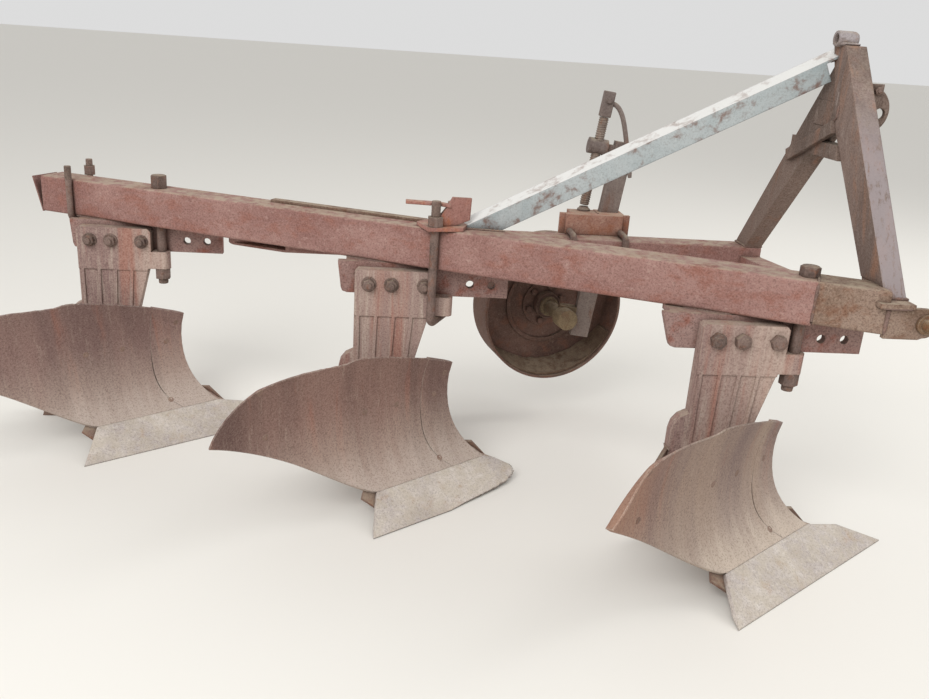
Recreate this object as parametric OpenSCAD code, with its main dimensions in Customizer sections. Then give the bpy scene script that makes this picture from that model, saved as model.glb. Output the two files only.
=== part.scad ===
// Three-furrow mounted moldboard plough with a gauge wheel.
// Frame: X along travel, Y to the land side, Z up. Millimetres.
// The working frame has its zero at the front body's share point, on the ground.
// place() moves everything so that the origin lies under the middle of the bounding box.

/* [Bodies] */
// Distance between neighbouring bodies along travel
body_step_x = 800; // [760:10:860]
// Distance between neighbouring bodies across travel
body_step_y = 350; // [330:5:370]

/* [Moldboard surface] */
// Angle of the share edge to the direction of travel
edge_angle = 35.7; // [34:0.1:37]
// Angle of the level lines at the height twist_z
twist_angle = 43.6; // [42:0.1:45]
// Height at which the level lines reach twist_angle
twist_z = 333; // [320:1:345]
// How far the straight lower part of the surface runs back
lift_x = 182; // [175:1:190]
// How high the straight lower part of the surface rises
lift_z = 63; // [60:1:66]
// How far back the surface stands upright
neck_x = 345; // [335:1:355]
// Height at which the surface stands upright
neck_z = 270; // [262:1:280]
// Thickness of the moldboard plates
board_t = 9; // [7:0.5:11]
// Gap left at the seam between breast and wing
seam = 0.8; // [0.5:0.1:1.5]
// Height left between the share and the moldboard
share_seam = 0.15; // [0.1:0.05:0.3]
// Height of the front corner of the moldboard
corner_z = 335; // [325:1:345]
// Height of the upper corner of the moldboard's tail
crest_z = 472; // [458:1:485]
// Length of the moldboard along its level lines, at that corner
board_len = 770; // [750:5:790]
// Place of the top of the seam between breast and wing, along the level lines
breast_seam = 127; // [115:1:140]

/* [Shares] */
// Length of the cutting edge
share_len = 652; // [635:1:665]
// Length of the share's upper edge
share_back = 433; // [420:1:450]
// Height of the share's upper edge
share_top = 66; // [64:1:70]
// Height of the share's land side edge
share_shoulder = 48; // [44:1:52]
// Thickness of the share
share_t = 12; // [10:0.5:13]
// Thickness left at the worn cutting edge
edge_t = 3; // [2:0.5:4]

/* [Landsides] */
// Height of the landside plates
landside_h = 98; // [85:1:110]
// Thickness of the landside plates
landside_t = 12; // [10:0.5:14]
// Length of the landsides of the front and middle bodies
landside_len = 500; // [440:10:540]
// Length of the rear body's landside
rear_landside_len = 640; // [600:10:700]
// Thickness of the heel plate under the rear landside's end
heel_t = 14; // [10:1:16]

/* [Standards] */
// Thickness of the standard's head
head_t = 36; // [30:1:40]
// Height of the standard's top edge
standard_top = 607; // [604:1:612]
// Height of the step below the head
head_step = 484; // [474:1:494]
// How far the face below the step is set back
face_set = 4; // [3:0.5:6]
// Width of each casting rib
rib_w = 9; // [7:0.5:11]
// Thickness of the frog plate
frog_t = 30; // [26:1:34]
// Diameter of the bolts that hold the standards
bolt_d = 26; // [22:1:28]
// Clearance of the bolt holes, on the diameter
bolt_gap = 0.6; // [0.4:0.1:1.2]

/* [Brackets] */
// Thickness of a bracket's upright web
web_t = 20; // [16:1:22]
// Thickness of a bracket's top flange
flange_t = 13; // [11:1:14]
// Height of a bracket's lower edge
bracket_low = 536; // [530:1:542]
// Diameter of the free holes
free_hole_d = 21; // [19:0.5:24]
// Distance between the two free holes
free_hole_gap = 57; // [52:1:62]
// Height of the line of holes
hole_z = 570; // [566:1:574]

/* [Main beam] */
// Height of the beam's underside
beam_low = 620; // [616:1:626]
// Height of the beam's section
beam_h = 104; // [98:1:108]
// Width of the beam's section
beam_w = 95; // [90:1:100]
// Wall of the beam
beam_wall = 8; // [6:0.5:10]
// Rounding of the long edges of both beams
edge_r = 8; // [6:0.5:9]
// Length of the beam behind the front body's bolt
beam_rear = 2120; // [2100:5:2160]
// Where the front piece of the beam starts, before the front body's bolt
seam_s = 20; // [18:1:30]

/* [Longitudinal beam] */
// Height of its upper side
long_top = 659; // [652:1:664]
// Height of its section
long_h = 80; // [74:1:84]
// Width of its section
long_w = 80; // [74:1:84]
// Wall of the longitudinal beam
long_wall = 7; // [5:0.5:9]
// Place of its right side across travel
long_y = 520; // [510:1:530]

/* [Front tie beam] */
// Width of the tie beam along travel
tie_w = 60; // [56:1:66]
// Height of the tie beam's section
tie_h = 50; // [46:1:54]
// Height of the tie beam's middle at its right end
tie_right_z = 658; // [656:1:662]
// Height of the tie beam's middle at its left end
tie_left_z = 606; // [604:1:612]

/* [Hitch] */
// Diameter of the lower hitch pins
pin_d = 28; // [28:0.1:28.7]
// Free length of the lower hitch pins
pin_len = 62; // [56:1:70]
// Thickness of the hitch plates
hitch_t = 13; // [11:1:14]
// Place of the right pin along travel
right_pin_x = -150; // [-154:1:-142]
// Height of the right pin
right_pin_z = 655; // [652:1:660]
// Place of the left pin along travel
left_pin_x = -285; // [-295:1:-275]
// Length of the right pin's collar
right_collar = 9; // [6:1:14]
// Length of the left pin's collar
left_collar = 24; // [16:1:30]
// Diameter of the top link hole
top_hole_d = 25.5; // [25:0.1:26]
// Thickness of each top link ear
ear_t = 12; // [10:1:14]
// Radius of the top link ears
ear_r = 55; // [52:1:58]
// Place of the top link hole along travel
top_hole_x = -203; // [-206:1:-200]
// How far the top link hole lies below the mast's top
top_hole_drop = 145; // [140:1:150]

/* [Mast] */
// Width of the mast legs along travel
leg_w = 50; // [47:1:52]
// Depth of the right leg at its foot
leg_foot = 98; // [94:1:100]
// Depth of the legs at the top
leg_tip = 58; // [54:1:62]
// Height of the right leg's top
mast_top = 1222; // [1212:1:1232]
// How far the right leg leans to the left
mast_lean_y = 281; // [275:1:287]
// How far the right leg leans back below its bend
mast_lean_x = 57; // [52:1:60]
// Diameter of the tube on the mast's head
boss_d = 36; // [32:1:40]
// Length of the tube on the mast's head
boss_len = 60; // [54:1:66]

/* [Strut] */
// Leg length of the strut's angle section
angle_leg = 52; // [48:1:55]
// Thickness of the strut's angle section
angle_t = 6; // [5:0.5:7]

/* [Repair clamp] */
// Diameter of the U bolt's rod
ubolt_d = 22; // [20:1:24]
// Height of the U bolt's inner bend
ubolt_low = 491; // [490:1:491]
// Thickness of the clamp plate
clamp_t = 10; // [8:0.5:12]
// Place of the U bolt along the beam, behind the front body's bolt
clamp_s = 886; // [884:1:890]

/* [Gauge wheel] */
// Outer diameter of the wheel
wheel_d = 460; // [440:2:480]
// Width of the rim
rim_w = 125; // [115:1:135]
// Thickness of the rim
rim_t = 7; // [6:0.5:9]
// Thickness of the disc
disc_t = 6; // [5:0.5:8]
// Distance of the disc from the rim's right edge
disc_in = 88; // [80:1:96]
// Outer diameter of the hub
hub_d = 84; // [76:1:90]
// Length of the hub
hub_len = 78; // [72:1:84]
// Diameter of the axle
axle_d = 44; // [40:1:48]
// Running clearance of the hub, on the radius
run_gap = 0.05; // [0.03:0.01:0.1]
// Height of the axle
axle_z = 386; // [380:1:396]
// Angle by which the wheel is out of line
toe = 13; // [10:0.5:14]

/* [Depth screw] */
// Width of the wheel post along travel
post_w = 55; // [50:1:60]
// Thickness of the wheel post
post_t = 28; // [25:1:30]
// Angle by which the post leans forward
post_lean = 7; // [6:0.5:8]
// Clearance of the post in its guide
post_gap = 0.5; // [0.4:0.1:1]
// Wall of the post's guide
guide_wall = 11; // [9:1:12]
// Diameter of the depth screw
screw_d = 30; // [27:1:32]
// Distance of the screw behind the post
screw_off = 76; // [72:1:80]
// Height of the nut above the axle
nut_up = 515; // [505:1:525]
// Diameter of the nut's drum
nut_d = 46; // [44:1:50]

/* [Hidden] */
$fn = 48;

seat = 0.3;
beam_top = beam_low + beam_h;
beam_turn = atan2(body_step_y, body_step_x);
step_len = norm([body_step_x, body_step_y]);
// the beam's axis passes through the upright bolt of each body
bolt_x = -378;
bolt_y = -66;
// sides of the longitudinal beam and of the tie beam
long_low = long_top - long_h;
long_left = long_y + long_w;
// both beams and the tie beam end in one plane across travel
frame_front = -240;
corner_y = bolt_y - (frame_front - bolt_x) * tan(beam_turn) - beam_w / 2 / cos(beam_turn);
tie_tilt = atan2(tie_left_z - tie_right_z, long_y - corner_y);

// moldboard surface: a level line at each height, turned by level_angle, starting on the breast curve
lift_slope = lift_z / lift_x;
bend_z = lift_z + (neck_x - lift_x) * lift_slope;
overhang = 0.0025;
function bend_t(z) =
    let (a = lift_z - 2 * bend_z + neck_z, b = 2 * (bend_z - lift_z))
    (-b + sqrt(b * b + 4 * a * (z - lift_z))) / (2 * a);
function breast_x(z) =
    z <= lift_z ? z / lift_slope
    : z >= neck_z ? neck_x - overhang * pow(z - neck_z, 2)
    : let (t = bend_t(z)) lift_x * pow(1 - t, 2) + 2 * neck_x * t * (1 - t) + neck_x * t * t;
function level_angle(z) = edge_angle + (twist_angle - edge_angle) * z / twist_z;
function board_at(s, z) =
    [-breast_x(z) - s * cos(level_angle(z)), -s * sin(level_angle(z)), z];
function unit(v) = v / norm(v);
// n equal steps from a to b
function between(a, b, n) = [for (j = [0 : n]) a + (b - a) * j / n];
// direction out of the back of the surface
function back_of(s, z) = unit(cross(board_at(s + 1, z) - board_at(s, z), board_at(s, z + 1) - board_at(s, z)));

// curves of second and third order between [s, z] points
function arc3(a, b, c, t) = a * pow(1 - t, 2) + b * 2 * t * (1 - t) + c * t * t;
function arc4(a, b, c, d, t) =
    a * pow(1 - t, 3) + b * 3 * t * pow(1 - t, 2) + c * 3 * t * t * (1 - t) + d * pow(t, 3);

// edges of the moldboard and share, as [s, z]
seam_top_z = 373;
tail_low = [board_len - 9, 312];
tail_top = [board_len, crest_z];
function crest(t) = arc3([breast_seam, seam_top_z], [370, crest_z - 17], tail_top, t);
function tail(t) = arc4(tail_low, [board_len + 5, 370], [board_len + 45, 445], tail_top, t);
function lower_edge(t) = arc3([share_back, share_top + share_seam], [share_back + 75, 213], tail_low, t);
function seam_line(t) = arc4([breast_seam + 45, share_top + share_seam], [breast_seam + 13, 128],
    [breast_seam - 55, 225], [breast_seam, seam_top_z], t);
share_neck = [55, share_top];

// geometry of the wheel group
post_x = -714;
post_y = 660;
post_bottom = -62;
post_top = 540;
axle_back = 66;
near_rim = 90;
axle_y = 622;
hub_start = near_rim + disc_in + disc_t / 2 - hub_len / 2;

// extent of the whole plough, for the origin
tail_steps = 12;
tail_points = [for (i = [0 : tail_steps]) tail(i / tail_steps)];
tail_edge = [for (q = tail_points) board_at(q[0], q[1])];
tail_back = [for (q = tail_points) board_at(q[0], q[1]) + back_of(q[0], q[1]) * board_t];
x_front = -breast_x(edge_t);
x_rear = -2 * body_step_x + min([for (p = concat(tail_edge, tail_back)) p[0]]);
y_right = min([for (p = concat(tail_edge, tail_back)) p[1]]);
y_left = axle_y + (near_rim + rim_w) * cos(toe) + wheel_d / 2 * sin(toe);
origin_x = (x_rear + x_front) / 2;
origin_y = (y_left + y_right) / 2;

module place() {
    translate([-origin_x, -origin_y, 0]) children();
}

module at_body(k) {
    place() translate([-(k - 1) * body_step_x, (k - 1) * body_step_y, 0]) children();
}

// s runs forward along the beam from the front body's bolt, t to the land side
module along_beam() {
    place() translate([bolt_x, bolt_y, 0]) rotate([0, 0, -beam_turn]) children();
}

// extrudes an [x, z] outline from y0 to y1
module upright(y0, y1) {
    translate([0, y1, 0]) rotate([90, 0, 0]) linear_extrude(y1 - y0) children();
}

// a plate on the moldboard surface; grid[i][j] is an [s, z] pair, depth(z) its thickness
module surface_plate(grid, thickness) {
    m = len(grid);
    n = len(grid[0]);
    face = [for (col = grid) for (q = col) board_at(q[0], q[1])];
    rear = [for (col = grid) for (q = col)
        let (p = board_at(q[0], q[1]) + back_of(q[0], q[1]) * min(thickness, q[1] * 0.95))
        let (over = max(p[1], 0))
        q[1] <= edge_t ? [board_at(q[0], q[1])[0], board_at(q[0], q[1])[1], 0]
        : [p[0] - over / tan(level_angle(q[1])), p[1] - over, max(p[2], 0)]];
    count = m * n;
    function at(i, j) = i * n + j;
    quads = [
        for (i = [0 : m - 2]) for (j = [0 : n - 2]) [at(i, j), at(i, j + 1), at(i + 1, j + 1), at(i + 1, j)],
        for (i = [0 : m - 2]) for (j = [0 : n - 2])
            [count + at(i, j), count + at(i + 1, j), count + at(i + 1, j + 1), count + at(i, j + 1)],
        for (i = [0 : m - 2]) [at(i, 0), at(i + 1, 0), count + at(i + 1, 0), count + at(i, 0)],
        for (i = [0 : m - 2])
            [at(i + 1, n - 1), at(i, n - 1), count + at(i, n - 1), count + at(i + 1, n - 1)],
        for (j = [0 : n - 2]) [at(0, j + 1), at(0, j), count + at(0, j), count + at(0, j + 1)],
        for (j = [0 : n - 2])
            [at(m - 1, j), at(m - 1, j + 1), count + at(m - 1, j + 1), count + at(m - 1, j)]];
    triangles = [for (q = quads) each [[q[0], q[2], q[1]], [q[0], q[3], q[2]]]];
    polyhedron(points = concat(face, rear), faces = triangles, convexity = 6);
}

// a bar along X whose long edges are rounded
module rounded_bar(l, w, h, r) {
    translate([0, r, 0]) cube([l, w - 2 * r, h]);
    translate([0, 0, r]) cube([l, w, h - 2 * r]);
    for (y = [r, w - r]) for (z = [r, h - r])
        translate([0, y, z]) rotate([0, 90, 0]) cylinder(r = r, h = l);
}

// the plate that closed the beam's rear end, bent open at its top
cap_t = 4;
cap_tilt = 16;
module main_beam() {
    color("#8a4f45") along_beam() difference() {
        union() {
            translate([-beam_rear, -beam_w / 2, beam_low]) rounded_bar(beam_rear + seam_s, beam_w, beam_h, edge_r);
            translate([-beam_rear + 1, -beam_w / 2, beam_low]) rotate([0, -cap_tilt, 0])
                translate([-cap_t, 0, 0]) cube([cap_t, beam_w, beam_h]);
        }
        translate([-beam_rear + 1, -beam_w / 2 + beam_wall, beam_low + beam_wall])
            cube([beam_rear + seam_s, beam_w - 2 * beam_wall, beam_h - 2 * beam_wall]);
        for (k = [0, 2])
            translate([-k * step_len, 0, beam_low - 1]) cylinder(d = bolt_d + bolt_gap, h = beam_h + 2);
    }
}

// the front piece is a little lower than the beam
front_drop = 5;
module beam_front() {
    color("#80543c") difference() {
        along_beam() difference() {
            translate([seam_s, -beam_w / 2, beam_low + front_drop])
                rounded_bar(200, beam_w, beam_h - front_drop, edge_r);
            translate([seam_s - 1, -beam_w / 2 + beam_wall, beam_low + front_drop + beam_wall])
                cube([202, beam_w - 2 * beam_wall, beam_h - front_drop - 2 * beam_wall]);
        }
        place() translate([frame_front, -400, beam_low - 1]) cube([300, 600, beam_h + 2]);
    }
}

module longitudinal_beam() {
    reach = 1700;
    color("#93543f") difference() {
        place() difference() {
            translate([frame_front - reach, long_y, long_low]) rounded_bar(reach, long_w, long_h, edge_r);
            translate([frame_front - reach - 1, long_y + long_wall, long_low + long_wall])
                cube([reach + 2, long_w - 2 * long_wall, long_h - 2 * long_wall]);
        }
        along_beam() translate([-beam_rear - 100, -400, long_low - 1])
            cube([beam_rear + 300, 400 + beam_w / 2, long_h + 2]);
    }
}

module tie_beam() {
    color("#7d4b3d") difference() {
        place() translate([frame_front - tie_w, corner_y, tie_right_z]) rotate([tie_tilt, 0, 0])
            translate([0, 0, -tie_h / 2]) cube([tie_w, long_y - corner_y + 20, tie_h]);
        place() translate([frame_front - tie_w - 1, long_y, long_low - 50]) cube([tie_w + 2, 100, 200]);
        along_beam() translate([-200, -beam_w, beam_low - 10]) cube([600, beam_w * 1.5, beam_h + 20]);
        place() translate([frame_front - tie_w - 1, web_y - 1, beam_low - 30]) cube([tie_w + 2, web_t + 2, 30 + seat]);
    }
}

module joint_strip() {
    strip_l = 450;
    strip_w = 26;
    color("#a5765f") along_beam() translate([-1395, beam_w / 2 - edge_r - strip_w, beam_top])
        cube([strip_l, strip_w, 7]);
}

// an angle plate: one leg closes the beam's front end, the other runs forward to the pin
module hitch_plate_right() {
    low = 618;
    eye = 33;
    reach_y = 95;
    color("#87603c") place() difference() {
        union() {
            upright(corner_y, corner_y + hitch_t) union() {
                polygon([[frame_front, low], [right_pin_x - 10, low], [right_pin_x, right_pin_z - eye],
                    [right_pin_x, right_pin_z + eye], [pad_x1, pad_z0], [frame_front, pad_z0]]);
                translate([right_pin_x, right_pin_z]) circle(eye);
            }
            translate([frame_front, corner_y, low + 6]) cube([hitch_t, reach_y, pad_z0 - low - 6]);
        }
        translate([right_pin_x, corner_y + hitch_t + 1, right_pin_z]) rotate([90, 0, 0])
            cylinder(d = pin_d, h = hitch_t + 2);
    }
}

// the pad under the right mast leg, on the plate's upper edge
pad_x0 = -267;
pad_x1 = -187;
pad_z0 = 689;
pad_z1 = 700;
module mast_pad() {
    color("#8a6a48") difference() {
        place() translate([pad_x0, corner_y - 12, pad_z0]) cube([pad_x1 - pad_x0, 142, pad_z1 - pad_z0]);
        beam_room();
    }
}

// the room of the beam and behind it, up to the plane in which the frame ends
module beam_room() {
    intersection() {
        along_beam() translate([-200, -beam_w / 2, beam_low - 10]) cube([600, beam_w + 100, beam_h + 10]);
        place() translate([frame_front - 300, -400, beam_low - 20]) cube([300, 600, beam_h + 40]);
    }
}

module hitch_plate_left() {
    color("#87603c") place() difference() {
        translate([left_pin_x - 60, long_left, long_low + 6]) cube([105, hitch_t, long_h - 12]);
        translate([left_pin_x, long_left - 1, long_top - long_h / 2]) rotate([-90, 0, 0])
            cylinder(d = pin_d, h = hitch_t + 2);
    }
}

// a shank in the plate, a collar against it and the free pin
module hitch_pin(x, y, z, side, collar) {
    color("#9a6a3e") place() translate([x, y, z]) rotate([side * -90, 0, 0]) union() {
        cylinder(d = pin_d, h = hitch_t + collar + pin_len - 4);
        translate([0, 0, hitch_t]) cylinder(d = pin_d + 16, h = collar);
        translate([0, 0, hitch_t + collar + pin_len - 4]) cylinder(d1 = pin_d, d2 = pin_d - 6, h = 4);
    }
}

module hitch_pin_right() {
    hitch_pin(right_pin_x, corner_y + hitch_t, right_pin_z, -1, right_collar);
}

module hitch_pin_left() {
    hitch_pin(left_pin_x, long_left, long_top - long_h / 2, 1, left_collar);
}

// places of the mast legs: middles at the foot, and the bend of the right leg
right_foot = [-213, -112, pad_z1];
left_foot = [frame_front - leg_w / 2, long_y + long_w / 2, long_top];
kink_z = 338;
leg_rise = mast_top - pad_z1;
upper_x = right_foot[0] - mast_lean_x;
outer_foot = -38;
// right leg's sides as [y, z] from its foot, bent at the weld
leg_side = [[outer_foot + leg_foot, 0], [228, kink_z], [mast_lean_y + leg_tip / 2, leg_rise]];
leg_outer = [[outer_foot, 0], [112, kink_z], [mast_lean_y - leg_tip / 2, leg_rise]];
top_hole_z = mast_top - top_hole_drop;

// a [y, z] outline at the right leg, kept to a bent strip: leaning back below the weld, upright above it
module leaned(width) {
    half = width / 2;
    place() translate(right_foot) intersection() {
        upright(-600, 600) polygon([[-half, 0], [half, 0], [half - mast_lean_x, kink_z], [half - mast_lean_x, 700],
            [-half - mast_lean_x, 700], [-half - mast_lean_x, kink_z]]);
        translate([-500, 0, 0]) rotate([90, 0, 90]) linear_extrude(1000) children();
    }
}

module mast_leg_right() {
    color("#6f5a55") difference() {
        leaned(leg_w) polygon([leg_outer[0], leg_side[0], leg_side[1], leg_side[2], leg_outer[2], leg_outer[1]]);
        beam_room();
    }
}

// the left leg's head ends under the strut
left_head = [[177, mast_top - 37], [80, mast_top - 37], [143, mast_top - 150]];
module mast_leg_left() {
    color("#6d4f45") difference() {
        place() translate([left_foot[0] - leg_w / 2, 0, 0]) rotate([90, 0, 90]) linear_extrude(leg_w) polygon([
            [left_foot[1] - 36, long_top], [left_foot[1] + 36, long_top], left_head[0], left_head[1], left_head[2]]);
        leg_cutter();
    }
}

// everything to the right of the right leg's left side
module leg_cutter() {
    leaned(400) polygon([[-400, 0], leg_side[0], leg_side[1], leg_side[2], leg_side[2] + [0, 100],
        [-400, leg_rise + 100]]);
}

// an open tube across the top of the right leg
module mast_head() {
    color("#6f5a55") difference() {
        place() translate([upper_x - 7, right_foot[1] + mast_lean_y, mast_top + boss_d / 2 - 4]) rotate([0, 90, 0])
            difference() {
                cylinder(d = boss_d, h = boss_len, center = true);
                translate([0, 0, -boss_len / 2 - 1]) cylinder(d = boss_d - 14, h = boss_len * 0.7);
            }
        place() translate([upper_x - 200, -200, mast_top - 200]) cube([400, 600, 200]);
    }
}

module mast_ties() {
    bar_z = mast_top - 256;
    rear_x = upper_x - leg_w / 2;
    color("#5f4138") difference() {
        place() union() {
            translate([rear_x + 3, 20, bar_z]) cube([40, 320, 34]);
            translate([rear_x + 3, 110, bar_z + 72]) cube([40, 130, 58]);
            translate([rear_x - 9, 146, bar_z + 78]) rotate([-23, 0, 0]) translate([0, -30, -30]) cube([13, 240, 30]);
        }
        leg_cutter();
        mast_leg_right();
        mast_leg_left();
    }
}

right_ear_y = 98;
left_ear_y = 162;
ear_mid = [top_hole_x - 34, top_hole_z + 6];
module top_link_ears() {
    color("#5d4b47") difference() {
        place() for (y = [right_ear_y, left_ear_y]) difference() {
            upright(y, y + ear_t) union() {
                translate(ear_mid) circle(ear_r);
                translate([upper_x, ear_mid[1] - ear_r]) square([ear_mid[0] - upper_x, 2 * ear_r]);
                translate([upper_x, top_hole_z + 38]) square([top_hole_x - 2 - upper_x, 28]);
            }
            translate([top_hole_x, y - 1, top_hole_z]) rotate([-90, 0, 0]) cylinder(d = top_hole_d, h = ear_t + 2);
        }
        mast_leg_right();
        mast_leg_left();
        mast_ties();
        place() translate([upper_x - 60, right_ear_y - 1, ear_mid[1] - 80])
            cube([60, left_ear_y - right_ear_y + ear_t + 2, 160]);
    }
}

// an angle bar from the beam's top to the mast's head, turned about its own length
strut_low = [-1147, 274, beam_top];
strut_high = [upper_x - leg_w / 2 - 4, 166, mast_top - 26];
strut_roll = 13.5;
module strut() {
    run = strut_high - strut_low;
    color("#b9bdc0") difference() {
        place() translate(strut_low) rotate([0, -atan2(run[2], norm([run[0], run[1]])), atan2(run[1], run[0])])
            rotate([strut_roll, 0, 0]) union() {
                translate([-60, 0, -angle_t]) cube([norm(run) + 75, angle_leg, angle_t]);
                translate([-60, 0, -angle_leg]) cube([norm(run) + 35, angle_t, angle_leg]);
            }
        place() translate([-1500, -200, beam_top - 300]) cube([1400, 900, 300]);
        mast_leg_right();
        mast_leg_left();
    }
}

bracket_rear = [-695, -655, -637];
// how far the rear end of each bracket's web slants forward
bracket_slant = [20, 8, 5];
bracket_front = -209;
// how far the flange stands in from the web's rear end
flange_set = 20;
web_y = -49;
module bracket(k) {
    rear = bracket_rear[k - 1];
    slant = bracket_slant[k - 1];
    color("#8d4b3f") at_body(k) difference() {
        union() {
            upright(web_y, web_y + web_t) polygon([
                [rear, beam_low - 6], [rear + slant, bracket_low + 14], [rear + slant + 4, bracket_low + 4],
                [rear + slant + 16, bracket_low], [bracket_front, bracket_low], [bracket_front, beam_low - flange_t],
                [bracket_front - 8, beam_low], [rear, beam_low]]);
            translate([rear + flange_set, web_y, beam_low - flange_t])
                cube([-425 - rear - flange_set, 80, flange_t]);
        }
        for (i = [0, 1])
            translate([-310 + i * free_hole_gap, web_y - 1, hole_z]) rotate([-90, 0, 0])
                cylinder(d = free_hole_d, h = web_t + 2);
    }
}

// where the back of a plate of thickness t lies at the height z, y to the right of the land side
function behind(z, y, t) =
    let (n = back_of(0, z))
    -breast_x(z) - y / tan(level_angle(z)) - t / norm([n[0], n[1]]) / sin(level_angle(z));

head_left = -610;
head_right = -405;
shoulder_x = head_left - 38;
frog_y = -landside_t - frog_t;
frog_top = 200;
frog_gap = 0.4;
// the frog's front follows the backs of share and moldboard
frog_levels = [14, 30, 44, 56, 64, 78, 92, 108, 124, 142, 160, 180, frog_top];
module frog(k) {
    rows = [for (z = frog_levels) let (t = (z < share_top + 8 ? share_t : board_t) + frog_gap)
        [[behind(z, landside_t + seat, t), -landside_t - seat, z], [behind(z, -frog_y, t), frog_y, z],
            [head_left + 4, frog_y, z], [head_left + 4, -landside_t - seat, z]]];
    top = len(rows) - 1;
    sides = [for (i = [0 : top - 1]) for (j = [0 : 3])
        let (a = 4 * i + j, b = 4 * i + (j + 1) % 4)
        each [[a, b, a + 4], [b, b + 4, a + 4]]];
    difference() {
        polyhedron(points = [for (r = rows) each r],
            faces = concat(sides,
                [[0, 2, 1], [0, 3, 2], [4 * top, 4 * top + 1, 4 * top + 2], [4 * top, 4 * top + 2, 4 * top + 3]]),
            convexity = 4);
        // the middle body's frog ends behind its worn share
        if (k == 2)
            upright(-100, 10) polygon([[-200, -5], [60, -5], [60, 68], [-232, 68], [-200, 50]]);
    }
}

module standard(k) {
    head_y = web_y - head_t;
    lug_z = head_step + 7;
    color("#7c4a3e") at_body(k) difference() {
        union() {
            // head plate against the bracket
            upright(head_y, web_y) polygon([
                [head_left, head_step], [head_right - 12, head_step], [head_right, head_step + 62],
                [head_right, standard_top - 8], [head_right - 8, standard_top],
                [head_left + 8, standard_top], [head_left, standard_top - 8]]);
            // lug that the upright bolt passes through
            intersection() {
                translate([0, 0, lug_z]) linear_extrude(50) union() {
                    translate([bolt_x, bolt_y]) circle(d = 46);
                    translate([head_right - 20, bolt_y - 19]) square([bolt_x - head_right + 20, 38]);
                }
                translate([head_right - 40, head_y, lug_z - 1]) cube([120, head_t, 60]);
            }
            // waist
            upright(head_y + face_set, web_y) polygon([
                [shoulder_x, 240], [-470, 240], [-460, 320], [-446, 375], [-429, 440],
                [head_right - 12, head_step + 1], [head_left, head_step + 1], [head_left, 384],
                [head_left - 20, 374], [head_left - 33, 357], [shoulder_x, 335]]);
            // ribs of the waist
            for (i = [0 : 3])
                upright(head_y, head_y + face_set + 1) polygon([
                    [-604 + 40 * i, 250], [-604 + 40 * i + rib_w, 250],
                    [-604 + 46 * i + rib_w, head_step + 1], [-604 + 46 * i, head_step + 1]]);
            // neck between waist and frog
            hull() {
                translate([shoulder_x, head_y + face_set, 240]) cube([-472 - shoulder_x, head_t - face_set, 4]);
                translate([head_left + 4, frog_y, frog_top - 16]) cube([150, frog_t - seat, 12]);
            }
            frog(k);
        }
        translate([bolt_x, bolt_y, head_step]) cylinder(d = bolt_d + bolt_gap, h = 80);
    }
}

// breast: the moldboard's front piece, from the seam with the share up
function breast_front(t) = arc4([56, share_top + share_seam], [18, 110], [0, 190], [5, corner_z], t);
module breast(k) {
    rows = 12;
    cols = 4;
    color("#6d4436") at_body(k) surface_plate([for (i = [0 : cols]) let (u = i / cols)
        [for (j = [0 : rows]) let (t = j / rows) breast_front(t) * (1 - u) + seam_line(t) * u]], board_t);
}

// wing: a patch between its four edges, with the share's rear corner on one of its columns
module wing(k) {
    rows = 12;
    cols = 16;
    turn_at = 6 / cols;
    gap = [seam, 0];
    function left(v) = seam_line(v) + gap;
    function top(u) = crest(u) + gap * (1 - u);
    corner = [share_back, share_top + share_seam];
    function foot(u) = u < turn_at ? left(0) * (1 - u / turn_at) + corner * (u / turn_at)
        : lower_edge((u - turn_at) / (1 - turn_at));
    function inside(u, v) = foot(u) * (1 - v) + top(u) * v + left(v) * (1 - u) + tail(v) * u
        - left(0) * (1 - u) * (1 - v) - tail(0) * u * (1 - v) - left(1) * (1 - u) * v - tail(1) * u * v;
    color("#6b4538") at_body(k)
        surface_plate([for (i = [0 : cols]) [for (j = [0 : rows]) inside(i / cols, j / rows)]], board_t);
}

// the cutting edge as [s, z]; the middle body's point is worn away
function sharp_edge(u) = [share_len * u, edge_t];
function worn_edge(u) = u < 0.2 ? [64, 34] + ([208, 12] - [64, 34]) * u / 0.2
    : u < 0.5 ? [208, 12] + ([402, edge_t] - [208, 12]) * (u - 0.2) / 0.3
    : [402, edge_t] + ([share_len, edge_t] - [402, edge_t]) * (u - 0.5) / 0.5;
module share(k) {
    rows = 4;
    cols = 10;
    nose = k == 2 ? [46, share_top - 4] : [0, share_shoulder];
    function low(u) = k == 2 ? worn_edge(u) : sharp_edge(u);
    function high(u) = u <= 1 / cols ? nose + (share_neck - nose) * u * cols
        : share_neck + ([share_back, share_top] - share_neck) * (u * cols - 1) / (cols - 1);
    color("#9a8a7c") at_body(k)
        surface_plate([for (i = [0 : cols]) let (u = i / cols) between(low(u), high(u), rows)], share_t);
}

module landside(k) {
    length = k == 3 ? rear_landside_len : landside_len;
    start = -210;
    color("#6f5347") at_body(k) union() {
        upright(-landside_t, 0) polygon([
            [start, 14], [start - 40, 0], [start - length, 0], [start - length, landside_h - 18],
            [start - length + 30, landside_h], [start - 60, landside_h], [start - 14, 50]]);
        if (k == 3)
            translate([start - length + 4, -landside_t - 34, 0]) cube([110, 34, heel_t]);
    }
}

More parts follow.
